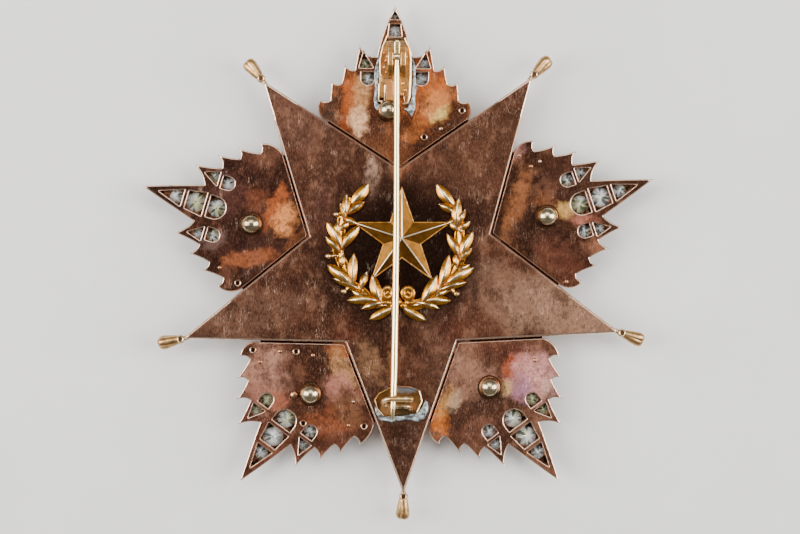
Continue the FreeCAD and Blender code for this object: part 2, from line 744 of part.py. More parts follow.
def make_badge():
    """Five-pointed star within an open laurel wreath, cast in one."""
    bottom = dim("badge_bottom")
    low = Vector(0, 0, bottom)
    parts = []
    corners = []
    for number in range(2 * ARMS):
        angle = math.radians(90 + HALF_STEP * number)
        radius = dim("badge_star") * (dim("badge_ratio") if number % 2 else 1.0)
        corners.append(BADGE_STAR_CENTRE + low + Vector(math.cos(angle), math.sin(angle), 0) * radius)
    slab = Vector(0, 0, dim("badge_floor"))
    parts.append(Part.Face(Part.makePolygon(corners + corners[:1])).extrude(slab))
    raised = [corner + slab for corner in corners]
    peak = BADGE_STAR_CENTRE + low + Vector(0, 0, dim("badge_star_rise"))
    roof = [Part.Face(Part.makePolygon(raised + raised[:1]))]
    for start, end in zip(raised, raised[1:] + raised[:1]):
        roof.append(Part.Face(Part.makePolygon([start, end, peak, start])))
    parts.append(Part.makeSolid(Part.makeShell(roof)))
    for side, rows in ((-1, LAUREL_LEFT), (1, LAUREL_RIGHT)):
        for number, (place, radius, lean, length, width) in enumerate(rows):
            base, along, outward = branch_frame(side, place, radius)
            lean = math.radians(lean)
            way = along * math.cos(lean) + outward * math.sin(lean)
            rise = bottom + BLADE_RISE + BLADE_LEVEL_STEP * (number % BLADE_LEVELS)
            parts.append(laurel_leaf(base - way * BLADE_ROOT, base + way * length, width, bottom, rise))
    for side in (-1, 1):
        stem = []
        for place in range(STEM_FROM, STEM_TO + 1, STEM_PIECE):
            flare = max(0, place - STEM_FLARE_FROM)
            radius = STEM_RADIUS + STEM_GROWTH * place + STEM_FLARE * flare ** 2
            stem.append(branch_frame(side, place, radius)[0])
        for start, end in zip(stem, stem[1:]):
            along = (end - start).normalize()
            aside = Vector(-along.y, along.x, 0) * STEM_HALF_WIDTH
            start = start - along * STEM_LAP
            loop = [start - aside, end - aside, end + aside, start + aside]
            loop = [corner + low for corner in loop]
            face = Part.Face(Part.makePolygon(loop + loop[:1]))
            parts.append(face.extrude(Vector(0, 0, STEM_RISE)))
    for direction in TIES:
        way = flat(1, 0, direction)
        start = BADGE_STAR_CENTRE + way * (dim("badge_star") - TIE_ROOT)
        end = start + way * TIE_LENGTH
        parts.append(laurel_leaf(start, end, TIE_WIDTH, bottom, bottom + TIE_RISE))
    for side, place, radius in BERRIES:
        centre, _, outward = branch_frame(side, place, radius)
        parts.append(Part.makeCone(BERRY_RADIUS, BERRY_TOP_RADIUS, BERRY_RISE, centre + low))
        start = centre - outward * STALK_LENGTH
        parts.append(laurel_leaf(start, centre, STALK_WIDTH, bottom, bottom + STALK_RISE))
    knot = KNOT_CENTRE + low
    parts.append(Part.makeCone(KNOT_RADIUS, KNOT_TOP_RADIUS, KNOT_RISE, knot))
    for across, up in BOW_LOOPS:
        centre = knot + Vector(across, up, 0)
        parts.append(Part.makeCone(BOW_RADIUS, BOW_TOP_RADIUS, BOW_RISE, centre))
    for across, up in RIBBON_TAILS:
        end = KNOT_CENTRE + Vector(across, up, 0)
        parts.append(laurel_leaf(KNOT_CENTRE, end, TAIL_WIDTH, bottom, bottom + TAIL_RISE))
    badge = doc.addObject("Part::Feature", "badge")
    badge.Shape = parts[0].multiFuse(parts[1:]).removeSplitter()
    badge.Placement = Placement(Vector(0, 0, 0), Rotation(Vector(0, 0, 1), SEEN_TURN))
    keep(badge, "wreath_and_star")


def make_hinge():
    """Base, cheeks, two lugs and the axle, soldered together on the top leaf."""
    body = new_body("hinge_bracket")
    base = new_sketch(body, "base_outline", "dims.base_bottom")
    add_corners(base, [Vector(x, y, 0) for x, y in HINGE_BASE])
    new_feature(body, "Pad", "base_plate", base, Length="dims.base_thick")
    doc.recompute()
    cheeks = new_sketch(body, "cheek_outline", "dims.base_bottom")
    for upper_x, upper_y, lower_x, lower_y in HINGE_CHEEKS:
        half = CHEEK_WIDE / 2
        add_corners(cheeks, [
            Vector(upper_x - half, upper_y, 0), Vector(lower_x - half, lower_y, 0),
            Vector(lower_x + half, lower_y, 0), Vector(upper_x + half, upper_y, 0)])
    pad = new_feature(body, "Pad", "cheeks", cheeks)
    pad.setExpression("Length", "dims.base_thick + %s" % CHEEK_RISE)
    doc.recompute()
    top = dim("axle_height") + dim("lug_rise")
    floor = dim("base_bottom") + dim("base_thick") / 2
    upper = dim("lug_front")
    lower = -dim("lug_back")
    cut_along, cut_down = LUG_BACK_CUT
    for name, start in (
        ("left_lug", "-dims.lug_gap / 2 - dims.lug_thick"),
        ("right_lug", "dims.lug_gap / 2"),
    ):
        lug = new_sketch(body, name + "_side", start, role="YZ_Plane")
        add_corners(lug, [
            Vector(upper, floor, 0),
            Vector(upper, top - LUG_FRONT_CUT, 0),
            Vector(upper - LUG_FRONT_CUT, top, 0),
            Vector(lower + cut_along, top, 0),
            Vector(lower, top - cut_down, 0),
            Vector(lower, floor, 0),
        ])
        new_feature(body, "Pad", name, lug, Length="dims.lug_thick")
        doc.recompute()
    axle = body.newObject("PartDesign::AdditiveCylinder", "axle")
    axle.setExpression("Radius", "dims.axle_radius")
    axle.setExpression("Height", "dims.lug_gap + 2 * (dims.lug_thick + dims.axle_end)")
    axle.Placement = Placement(
        Vector(-dim("lug_gap") / 2 - dim("lug_thick") - dim("axle_end"), 0, dim("axle_height")),
        Rotation(Vector(0, 1, 0), 90))
    doc.recompute()
    body.Placement = Placement(HINGE_PLACE, Rotation(Vector(0, 0, 1), PIN_TURN))


def make_pin():
    """Round pin with a barrel on the axle and a flat heel beyond it. Modelled about the axle."""
    body = new_body("pin")
    barrel = body.newObject("PartDesign::AdditiveCylinder", "barrel")
    barrel.setExpression("Radius", "dims.barrel_radius")
    barrel.setExpression("Height", "dims.barrel_width")
    barrel.Placement = Placement(Vector(-dim("barrel_width") / 2, 0, 0),
                                 Rotation(Vector(0, 1, 0), 90))
    doc.recompute()
    heel = new_sketch(body, "heel_outline", "-dims.heel_thick / 2")
    half = dim("barrel_width") / 2
    straight = dim("heel_reach") - half
    heel.addGeometry(Part.LineSegment(Vector(-half, 0, 0), Vector(half, 0, 0)), False)
    heel.addGeometry(Part.LineSegment(Vector(half, 0, 0), Vector(half, straight, 0)), False)
    heel.addGeometry(Part.Arc(Vector(half, straight, 0), Vector(0, straight + half, 0),
                              Vector(-half, straight, 0)), False)
    heel.addGeometry(Part.LineSegment(Vector(-half, straight, 0), Vector(-half, 0, 0)), False)
    new_feature(body, "Pad", "heel", heel, Length="dims.heel_thick")
    doc.recompute()
    shaft = new_sketch(body, "shaft_profile", role="XY_Plane")
    start = dim("barrel_radius") / 2
    corners = [Vector(0, -start, 0), Vector(dim("pin_neck"), -start, 0)]
    for radius, distance in PIN_PROFILE:
        corners.append(Vector(dim(radius), -distance, 0))
    corners.append(Vector(0, corners[-1].y, 0))
    add_corners(shaft, corners)
    turned = new_feature(body, "Revolution", "shaft", shaft)
    turned.ReferenceAxis = (shaft, ["V_Axis"])
    turned.Angle = 360
    doc.recompute()
    bore = body.newObject("PartDesign::SubtractiveCylinder", "bore")
    bore.setExpression("Radius", "dims.axle_radius + dims.axle_play")
    bore.setExpression("Height", "2 * dims.barrel_width")
    bore.Placement = Placement(Vector(-dim("barrel_width"), 0, 0), Rotation(Vector(0, 1, 0), 90))
    doc.recompute()
    place = Vector(HINGE_PLACE.x, HINGE_PLACE.y, dim("axle_height"))
    body.Placement = Placement(place, Rotation(Vector(0, 0, 1), PIN_TURN))


def make_catch():
    """Oval plate with a raised rim, and an open hook of round wire over the end of the pin."""
    body = new_body("catch")
    plate = new_sketch(body, "catch_outline", "dims.catch_bottom")
    outline = [Vector(x, y, 0) for x, y in CATCH_OUTLINE]
    add_corners(plate, outline)
    new_feature(body, "Pad", "catch_plate", plate, Length="dims.catch_thick")
    doc.recompute()
    rim = new_sketch(body, "rim_outline", "dims.catch_bottom")
    middle = Vector(0, 0, 0)
    for point in outline:
        middle += point * (1.0 / len(outline))
    inner = []
    for point in outline:
        inward = middle - point
        inner.append(point + inward.normalize() * dim("rim_width"))
    add_corners(rim, outline)
    add_corners(rim, inner)
    new_feature(body, "Pad", "rim", rim, Length="dims.catch_thick + dims.rim_height")
    doc.recompute()
    lean = dim("hook_lean")
    half_rise = dim("hook_drop") / math.cos(math.radians(lean))
    left = HOOK_PIN - HOOK_SLACK
    spine = new_sketch(body, "hook_path", role="XZ_Plane")
    tilt = Rotation(Vector(1, 0, 0), lean)
    upright = Rotation(Vector(1, 0, 0), 90)
    spine.MapMode = "Deactivated"
    spine.AttachmentSupport = None
    frame = Placement(Vector(0, 0, dim("axle_height")), tilt.multiply(upright))
    spine.Placement = frame
    foot_drop = (dim("axle_height") - dim("catch_bottom") - dim("catch_thick") / 2)
    foot_drop = foot_drop / math.cos(math.radians(lean))
    bend = math.radians(45)
    foot = Vector(HOOK_FOOT, -foot_drop, 0)
    foot_top = Vector(HOOK_FOOT, -half_rise - HOOK_CORNER, 0)
    turn_mid = Vector(HOOK_FOOT - HOOK_CORNER + HOOK_CORNER * math.cos(bend),
                      -half_rise - HOOK_CORNER + HOOK_CORNER * math.sin(bend), 0)
    bar_right = Vector(HOOK_FOOT - HOOK_CORNER, -half_rise, 0)
    bar_left = Vector(left, -half_rise, 0)
    bow = Vector(left - half_rise, 0, 0)
    over_left = Vector(left, half_rise, 0)
    over_right = Vector(HOOK_END, half_rise, 0)
    spine.addGeometry(Part.LineSegment(foot, foot_top), False)
    spine.addGeometry(Part.Arc(foot_top, turn_mid, bar_right), False)
    spine.addGeometry(Part.LineSegment(bar_right, bar_left), False)
    spine.addGeometry(Part.Arc(bar_left, bow, over_left), False)
    spine.addGeometry(Part.LineSegment(over_left, over_right), False)
    section = new_sketch(body, "wire_section")
    section.MapMode = "Deactivated"
    section.AttachmentSupport = None
    section.Placement = Placement(frame.multVec(foot), tilt)
    section.addGeometry(Part.Circle(Vector(0, 0, 0), Vector(0, 0, 1), dim("wire_radius")), False)
    ring = Sketcher.Constraint("Radius", 0, dim("wire_radius"))
    section.setExpression("Constraints[%d]" % section.addConstraint(ring), "dims.wire_radius")
    doc.recompute()
    hook = body.newObject("PartDesign::AdditivePipe", "hook")
    hook.Profile = section
    hook.Spine = (spine, [])
    doc.recompute()
    body.Placement = Placement(CATCH_PLACE, Rotation(Vector(0, 0, 1), SEEN_TURN))


make_star_back()
make_star_front()
for leaf, direction, turn, shift_across, shift_out, stud_across, stud_out in LEAVES:
    shift = Vector(shift_across, shift_out, 0)
    make_leaf(leaf, direction, turn, shift, stud_across, stud_out)
    make_stud(leaf, direction, stud_across, stud_out)
    make_stones(leaf, direction, turn, shift)
for finial, direction, aside, roll in FINIALS:
    make_finial(finial, direction, aside, roll)
make_badge()
make_hinge()
make_pin()
make_catch()
doc.recompute()

for thing in doc.Objects:
    if "Invalid" in thing.State or "Error" in thing.State:
        raise ValueError("%s failed: %s" % (thing.Label, thing.State))
for node in nodes:
    if node.Shape.isNull() or not node.Shape.isValid() or node.Shape.Volume <= 0:
        raise ValueError("%s has no valid shape" % node.Label)

os.makedirs("parts", exist_ok=True)
for node in nodes:
    node.Shape.exportStep("parts/%s.step" % node.Label)
    print(node.Label, "solids", len(node.Shape.Solids), "volume %.2f" % node.Shape.Volume)
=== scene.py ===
import math

import bpy
import numpy as np
from mathutils import Matrix, Vector, geometry, noise


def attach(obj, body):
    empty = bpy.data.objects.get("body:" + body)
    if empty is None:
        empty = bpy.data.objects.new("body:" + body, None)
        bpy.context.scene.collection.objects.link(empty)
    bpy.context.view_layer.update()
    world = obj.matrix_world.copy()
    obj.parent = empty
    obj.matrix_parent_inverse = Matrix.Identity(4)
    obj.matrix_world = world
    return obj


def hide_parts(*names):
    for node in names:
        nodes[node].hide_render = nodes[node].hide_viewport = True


# Breast star of an order, lying face down on a pale table and seen from above.
# Lengths are millimetres of the star's own frame, unless their name says otherwise.

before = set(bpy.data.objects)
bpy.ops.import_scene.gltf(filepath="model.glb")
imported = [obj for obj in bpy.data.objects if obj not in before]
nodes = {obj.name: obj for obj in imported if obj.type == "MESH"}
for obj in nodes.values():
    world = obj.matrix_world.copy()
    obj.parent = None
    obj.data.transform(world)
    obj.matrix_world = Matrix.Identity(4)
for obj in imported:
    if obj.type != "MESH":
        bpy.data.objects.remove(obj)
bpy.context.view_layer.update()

MM = 0.001
PIXEL = 0.175                        # a pixel of the photograph, at the star's back
CENTRE_PX = (400.2, 264.4)           # the star's centre in the 800 x 534 photograph
PICTURE_PX = (400.0, 267.0)          # middle of the photograph
PICTURE_WIDE_PX = 800
SEEN_TURN = math.radians(0.8)        # the star in the photograph is turned by this, counter-clockwise

# Heights above the table
LEAF_FRONT = 3.75
LEAF_BACK = 5.15
PLATE_BOTTOM = 5.2
PLATE_TOP = 6.2
FITTING_BOTTOM = 6.24
AXLE_HEIGHT = 9.35

UP = Vector((0, 0, 1))


def seen(x, y, height=0.0):
    """Point of the photograph, in pixels, as a place on the star."""
    across, up = Matrix.Rotation(-SEEN_TURN, 2) @ Vector((x - CENTRE_PX[0], CENTRE_PX[1] - y))
    return Vector((across * PIXEL, up * PIXEL, height))


def paint(red, green, blue):
    """Linear colour of a screen colour in parts of 255."""
    return tuple((part / 255 / 12.92) if part < 11 else ((part / 255 + 0.055) / 1.055) ** 2.4
                 for part in (red, green, blue)) + (1.0,)


# Meshes

class Shape:
    """Points and faces of a piece in the making, with the wear of each point from 0 to 1."""

    def __init__(self):
        self.points = []
        self.faces = []
        self.worn = []

    def add(self, points, faces, worn=0.0):
        first = len(self.points)
        self.points += [Vector(point) for point in points]
        self.faces += [[first + corner for corner in face] for face in faces]
        self.worn += list(worn) if hasattr(worn, "__len__") else [worn] * len(points)
        return self

    def join(self, other, matrix=None):
        points = [matrix @ point for point in other.points] if matrix else other.points
        return self.add(points, other.faces, other.worn)

    def rubbed(self, least, most):
        """Wear brought between two levels."""
        self.worn = [least + (most - least) * part for part in self.worn]
        return self


def add_piece(name, shape, material, body="root", instead=(), sharp=40.0):
    """Object of a shape, riding on a body and standing for the named CAD nodes."""
    mesh = bpy.data.meshes.new(name)
    mesh.from_pydata([point * MM for point in shape.points], [], shape.faces)
    mesh.validate()
    mesh.attributes.new("worn", "FLOAT", "POINT").data.foreach_set("value", shape.worn)
    mesh.shade_smooth()
    mesh.set_sharp_from_angle(angle=math.radians(sharp))
    mesh.materials.append(material)
    piece = bpy.data.objects.new(name, mesh)
    bpy.context.scene.collection.objects.link(piece)
    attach(piece, body)
    if instead:
        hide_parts(*instead)
    return piece


def skin(rows):
    """Points and faces of a closed surface through rings of as many points each."""
    wide = len(rows[0])
    faces = []
    for row in range(len(rows) - 1):
        for column in range(wide):
            following = (column + 1) % wide
            low, high = row * wide, (row + 1) * wide
            faces.append([low + column, low + following, high + following, high + column])
    faces.append(list(reversed(range(wide))))
    faces.append([(len(rows) - 1) * wide + column for column in range(wide)])
    return [point for row in rows for point in row], faces


def lathe(profile, sides, matrix=None, worn=0.0):
    """Turned shape. The profile's rows are radius and place along the Z axis, from below upwards."""
    rows = []
    for radius, along in profile:
        turns = [2 * math.pi * side / sides for side in range(sides)]
        rows.append([Vector((radius * math.cos(turn), radius * math.sin(turn), along))
                     for turn in turns])
    points, faces = skin(rows)
    if matrix:
        points = [matrix @ point for point in points]
    return Shape().add(points, faces, worn)


def ball_profile(radius, low, high, steps, centre=0.0):
    """Profile of a ball between two heights over its middle."""
    start = math.asin(max(-1.0, low / radius))
    end = math.asin(min(1.0, high / radius))
    rows = []
    for step in range(steps + 1):
        angle = start + (end - start) * step / steps
        rows.append((max(radius * math.cos(angle), 0.004), centre + radius * math.sin(angle)))
    return rows


def tube(path, radii, sides=16, worn=0.0):
    """Round bar along a path of points, with rounded ends."""
    path = [Vector(point) for point in path]
    if not hasattr(radii, "__len__"):
        radii = [radii] * len(path)
    rows = []
    side = None
    for number, point in enumerate(path):
        before = path[max(0, number - 1)]
        after = path[min(len(path) - 1, number + 1)]
        along = (after - before).normalized()
        if side is None:
            side = along.orthogonal().normalized()
        side = (side - along * side.dot(along)).normalized()
        other = along.cross(side)
        ring = [(point, radii[number])]
        if number == 0:
            ring = [(point - along * radii[0] * reach, radii[0] * share)
                    for reach, share in ((1.0, 0.05), (0.9, 0.44), (0.6, 0.8))] + ring
        if number == len(path) - 1:
            ring += [(point + along * radii[-1] * reach, radii[-1] * share)
                     for reach, share in ((0.6, 0.8), (0.9, 0.44), (1.0, 0.05))]
        for centre, radius in ring:
            rows.append([centre + (side * math.cos(turn) + other * math.sin(turn)) * radius
                         for turn in (2 * math.pi * step / sides for step in range(sides))])
    points, faces = skin(rows)
    return Shape().add(points, faces, worn)


def strip(path, half_width, bottom, top, worn=(0.3, 1.0)):
    """Upright wall with a rounded top along a path seen from above. Worn is of its sides and top."""
    path = [Vector((point[0], point[1], 0)) for point in path]
    section = [(-1, bottom, 0), (-1, top - half_width, 0), (-0.7, top - half_width * 0.3, 1),
               (0, top, 1), (0.7, top - half_width * 0.3, 1), (1, top - half_width, 0), (1, bottom, 0)]
    rows = []
    wear = []
    for number, point in enumerate(path):
        before = path[max(0, number - 1)]
        after = path[min(len(path) - 1, number + 1)]
        first = (point - before).normalized() if number else (after - point).normalized()
        last = (after - point).normalized() if number < len(path) - 1 else first
        along = (first + last).normalized()
        aside = Vector((-along.y, along.x, 0)) / max(0.4, along.dot(first))
        rows.append([point + aside * half_width * share + UP * height
                     for share, height, _ in reversed(section)])
        wear += [worn[level] for _, _, level in reversed(section)]
    points, faces = skin(rows)
    return Shape().add(points, faces, wear)


DOME_SINK = 0.08            # how far a heap's rim lies under its foot


def dome(centre, radius, height, sides=20, rings=5, wobble=0.0, stretch=(1.0, 1.0), worn=0.0):
    """Low rounded heap with an uneven edge. Its rim lies a little under the centre's height."""
    points = []
    for ring in range(rings, 0, -1):
        share = ring / rings
        for side in range(sides):
            angle = 2 * math.pi * side / sides
            way = Vector((math.cos(angle), math.sin(angle), 0))
            rough = 1 + wobble * noise.noise(Vector(centre) + way * 1.7)
            reach = radius * share * rough
            local = Vector((way.x * reach * stretch[0], way.y * reach * stretch[1], 0))
            lift = height * math.sqrt(max(0.0, 1 - share ** 2)) - DOME_SINK * (ring == rings)
            points.append(Vector(centre) + local + UP * lift)
    points.append(Vector(centre) + UP * height)
    faces = []
    for ring in range(rings - 1):
        for side in range(sides):
            following = (side + 1) % sides
            low, high = ring * sides, (ring + 1) * sides
            faces.append([low + side, low + following, high + following, high + side])
    last = (rings - 1) * sides
    faces += [[last + side, last + (side + 1) % sides, rings * sides] for side in range(sides)]
    faces.append(list(reversed(range(sides))))
    return Shape().add(points, faces, worn)


# Plates with rounded edges, from the outlines of the CAD nodes

def outline_of(node, height, upper=True):
    """Closed loops round the flat face that a node has at a height. Its metal is on their left."""
    mesh = nodes[node].data
    edges = {}
    places = {}
    for face in mesh.polygons:
        corners = [mesh.vertices[number].co / MM for number in face.vertices]
        level = all(abs(corner.z - height) < 1e-3 for corner in corners)
        if not level or (face.normal.z > 0) != upper:
            continue
        keys = [(round(corner.x, 4), round(corner.y, 4)) for corner in corners]
        if not upper:
            keys.reverse()
        for start, end in zip(keys, keys[1:] + keys[:1]):
            if (end, start) in edges:
                del edges[(end, start)]
            else:
                edges[(start, end)] = True
    for start, end in edges:
        places.setdefault(start, []).append(end)
    loops = []
    while places:
        start = next(iter(places))
        loop = [start]
        while True:
            following = places[loop[-1]].pop()
            if not places[loop[-1]]:
                del places[loop[-1]]
            if following == start:
                break
            loop.append(following)
        loops.append(np.array(loop))
    return sorted(loops, key=len, reverse=True)


def edge_distance(points, loops):
    """Distance of each point from the nearest edge of the outline."""
    nearest = np.full(len(points), np.inf)
    for loop in loops:
        for start, end in zip(loop, np.roll(loop, -1, axis=0)):
            along = end - start
            share = np.clip(((points - start) @ along) / max(along @ along, 1e-12), 0, 1)
            gap = np.linalg.norm(points - start - share[:, None] * along, axis=1)
            nearest = np.minimum(nearest, gap)
    return nearest


def within(points, loops):
    """Whether each point is on the plate, inside its outline and outside its openings."""
    odd = np.zeros(len(points), bool)
    for loop in loops:
        for start, end in zip(loop, np.roll(loop, -1, axis=0)):
            if start[1] == end[1]:
                continue
            crossed = (start[1] > points[:, 1]) != (end[1] > points[:, 1])
            across = start[0] + (points[:, 1] - start[1]) * (end[0] - start[0]) / (end[1] - start[1])
            odd ^= crossed & (points[:, 0] < across)
    return odd


def resample(loop, step):
    points = []
    for start, end in zip(loop, np.roll(loop, -1, axis=0)):
        count = max(1, math.ceil(np.linalg.norm(end - start) / step))
        points += [start + (end - start) * number / count for number in range(count)]
    return np.array(points)


def thinned(points, apart):
    """The points without those that stand too near an earlier one."""
    kept = {}
    for point in points:
        cell = (math.floor(point[0] / apart), math.floor(point[1] / apart))
        near = [kept.get((cell[0] + i, cell[1] + j)) for i in (-1, 0, 1) for j in (-1, 0, 1)]
        if all(other is None or math.dist(other, point) >= apart for other in near):
            kept[cell] = point
    return np.array(list(kept.values())).reshape(-1, 2)


EDGE_ROWS = (0.1, 0.3, 0.6, 1.0, 1.5)     # rows of points beside an edge, as parts of its rounding


def build_plate(loops, bottom, top, rounding, step=0.3, spacing=0.9, wave=None):
    """Plate with rounded edges on both faces. Its top follows the wave, given by x and y."""
    outline = []
    ties = []
    normals = []
    for loop in loops:
        points = resample(loop, step)
        first = len(outline)
        outline += list(points)
        ties += [(first + number, first + (number + 1) % len(points)) for number in range(len(points))]
        along = np.roll(points, -1, axis=0) - points
        along /= np.linalg.norm(along, axis=1)[:, None]
        after = np.stack([-along[:, 1], along[:, 0]], axis=1)
        before = np.roll(after, 1, axis=0)
        between = after + before
        between /= np.maximum(np.linalg.norm(between, axis=1), 1e-6)[:, None]
        normals += list(np.stack([before, between, after], axis=1))
    outline = np.array(outline)
    normals = np.array(normals)
    layers = [outline]
    for share in EDGE_ROWS:
        row = (outline[:, None, :] + normals * share * rounding).reshape(-1, 2)
        row = row[edge_distance(row, loops) > share * rounding * 0.98]
        row = row[within(row, loops)]
        layers.append(thinned(row, step * 0.6))
    low = outline.min(axis=0)
    high = outline.max(axis=0)
    field = []
    for number, up in enumerate(np.arange(low[1], high[1], spacing * 0.87)):
        start = low[0] + spacing / 2 * (number % 2)
        field += [(across, up) for across in np.arange(start, high[0], spacing)]
    field = np.array(field)
    field = field[within(field, loops)]
    layers.append(field[edge_distance(field, loops) > EDGE_ROWS[-1] * rounding + spacing * 0.4])
    flat = [Vector(point) for point in np.concatenate(layers)]
    made, _, faces = geometry.delaunay_2d_cdt(flat, ties, [], 0, 1e-6)[:3]
    places = np.array([tuple(point) for point in made])
    corners = np.array(faces)
    corners = corners[within(places[corners].mean(axis=1), loops)]
    distance = edge_distance(places, loops)
    slope = 1 - np.clip(distance / rounding, 0, 1)
    drop = rounding * (1 - np.sqrt(1 - slope ** 2))
    upper = [Vector((x, y, top - fall + (wave(x, y) if wave else 0.0)))
             for (x, y), fall in zip(places, drop)]
    lower = [Vector((x, y, bottom + fall)) for (x, y), fall in zip(places, drop)]
    count = len(places)
    top_faces = [list(map(int, face)) for face in corners]
    edges = {}
    for face in top_faces:
        for start, end in zip(face, face[1:] + face[:1]):
            if edges.pop((end, start), None) is None:
                edges[(start, end)] = True
    faces = top_faces + [[corner + count for corner in reversed(face)] for face in top_faces]
    wear = list(np.clip(1.35 - distance / rounding, 0, 1))
    rim = sorted({start for start, _ in edges})
    upper_wall = {corner: 2 * count + number for number, corner in enumerate(rim)}
    lower_wall = {corner: 2 * count + len(rim) + number for number, corner in enumerate(rim)}
    inset = min(0.4 * rounding, 0.4 * (top - bottom - 2 * rounding))
    for start, end in edges:
        levels = [(start, end), (upper_wall[start], upper_wall[end]),
                  (lower_wall[start], lower_wall[end]), (start + count, end + count)]
        faces += [[low[0], low[1], high[1], high[0]] for high, low in zip(levels, levels[1:])]
    walls = [upper[corner] - UP * inset for corner in rim] + [lower[corner] + UP * inset for corner in rim]
    return Shape().add(upper + lower + walls, faces, wear + wear + [0.0] * len(walls))


def loop_of(points):
    """Outline from a list of corners, turned counter-clockwise."""
    loop = np.array([(point[0], point[1]) for point in points])
    after = np.roll(loop, -1, axis=0)
    area = (loop[:, 0] * after[:, 1] - after[:, 0] * loop[:, 1]).sum()
    return [loop if area > 0 else loop[::-1]]


# Materials

EDGE = paint(238, 202, 176)         # metal where it is polished bright


class Paint:
    """Node material in the making. Its patterns are laid out in millimetres of the star's frame."""

    def __init__(self, name):
        self.made = bpy.data.materials.new(name)
        self.made.use_nodes = True
        self.tree = self.made.node_tree
        self.tree.nodes.clear()
        self.place = self.scaled(self.node("TexCoord").outputs["Object"], 1 / MM)
        self.worn = self.node("Attribute", attribute_name="worn").outputs["Fac"]

    def node(self, kind, inputs=None, **settings):
        made = self.tree.nodes.new("ShaderNode" + kind)
        for field, value in settings.items():
            setattr(made, field, value)
        for field, value in (inputs or {}).items():
            if isinstance(value, bpy.types.NodeSocket):
                self.tree.links.new(value, made.inputs[field])
            else:
                made.inputs[field].default_value = value
        return made

    def scaled(self, vector, factor):
        return self.node("VectorMath", {0: vector, 1: (factor,) * 3}, operation="MULTIPLY").outputs[0]

    def height(self):
        return self.node("SeparateXYZ", {0: self.place}).outputs["Z"]

    def math(self, operation, first, second=0.0):
        return self.node("Math", {0: first, 1: second}, operation=operation).outputs[0]

    def times(self, *values):
        """Product of values and sockets."""
        product = values[0]
        for value in values[1:]:
            product = self.math("MULTIPLY", product, value)
        return product

    def span(self, value, low, high, start=0.0, end=1.0, smooth=True):
        """The value's place between two others, from start to end."""
        kind = "SMOOTHSTEP" if smooth else "LINEAR"
        inputs = {"Value": value, "From Min": low, "From Max": high, "To Min": start, "To Max": end}
        return self.node("MapRange", inputs, interpolation_type=kind).outputs[0]

    def mix(self, share, first, second, blend="MIX"):
        inputs = {"Factor": share, 6: first, 7: second}
        return self.node("Mix", inputs, data_type="RGBA", blend_type=blend).outputs[2]

    def between(self, share, first, second):
        """Value between two others."""
        return self.node("Mix", {"Factor": share, 2: first, 3: second}, data_type="FLOAT").outputs[0]

    def noise(self, size, detail=3.0, stretch=(1.0, 1.0, 1.0), turn=0.0, shift=0.0, rough=0.55):
        """Noise with spots of a size, drawn out along an axis where the stretch is large."""
        scale = tuple(1 / (size * part) for part in stretch)
        turned = self.node("VectorRotate", {"Vector": self.place, "Angle": turn},
                           rotation_type="Z_AXIS").outputs[0]
        place = self.node("Mapping", {"Vector": turned, "Scale": scale,
                                      "Location": (shift, shift * 0.7, shift * 0.3)}).outputs[0]
        return self.node("TexNoise", {"Vector": place, "Scale": 1.0, "Detail": detail,
                                      "Roughness": rough}).outputs["Fac"]

    def scratches(self, width, length, turn, shift, fine):
        """Thin lines along one direction."""
        field = self.noise(width * 6, 2.0, (1.0, length, 1.0), turn, shift, 0.6)
        near = self.math("ABSOLUTE", self.math("SUBTRACT", field, 0.5))
        return self.span(near, 0.0, fine, 1.0, 0.0)

    def spot(self, centre, reach, soft=0.5, uneven=0.35, stretch=(1.0, 1.0), turn=0.0):
        """Mask of an uneven spot round a place, in a reach of millimetres."""
        centre = Vector((centre[0], centre[1], 0))
        offset = self.node("VectorMath", {0: self.place, 1: centre}, operation="SUBTRACT").outputs[0]
        turned = self.node("VectorRotate", {"Vector": offset, "Angle": -turn},
                           rotation_type="Z_AXIS").outputs[0]
        flat = self.node("VectorMath", {0: turned, 1: (1 / stretch[0], 1 / stretch[1], 0.0)},
                         operation="MULTIPLY").outputs[0]
        far = self.node("VectorMath", {0: flat}, operation="LENGTH").outputs["Value"]
        rough = self.noise(reach * 0.55, 4.0, shift=centre.x * 0.37 + centre.y * 0.11)
        edge = self.math("ADD", far, self.span(rough, 0.25, 0.75, -reach * uneven, reach * uneven, False))
        return self.span(edge, reach * (1 - soft), reach * (1 + soft), 1.0, 0.0)

    def surface(self, **inputs):
        """Finish the material with the shader's inputs, given by their names."""
        named = {field.replace("_", " "): value for field, value in inputs.items()}
        shader = self.node("BsdfPrincipled", named)
        output = self.node("OutputMaterial")
        self.tree.links.new(shader.outputs[0], output.inputs["Surface"])
        return self.made

    def metal(self, colour, roughness, height, strength, reach):
        """Finish the material: a metal with a bump of the given reach in millimetres."""
        bump = self.node("Bump", {"Strength": strength, "Distance": reach * MM, "Height": height})
        return self.surface(Base_Color=colour, Metallic=1.0, Roughness=roughness, Normal=bump.outputs[0])

    def patched(self, colour, patches, soft, uneven, breaks=None):
        """Colour with tinted spots laid over it, broken up where breaks gives the least that is left."""
        for x, y, reach, wide, high, turn, tint, share in patches:
            mask = self.spot(seen(x, y), reach * PIXEL, soft, uneven, (wide, high), math.radians(turn))
            if breaks is not None:
                mask = self.times(mask, self.span(self.noise(0.7, 5.0, shift=reach, rough=0.7),
                                                  0.3, 0.58, breaks, 1.0))
            colour = self.mix(self.times(mask, share), colour, paint(*tint))
        return colour


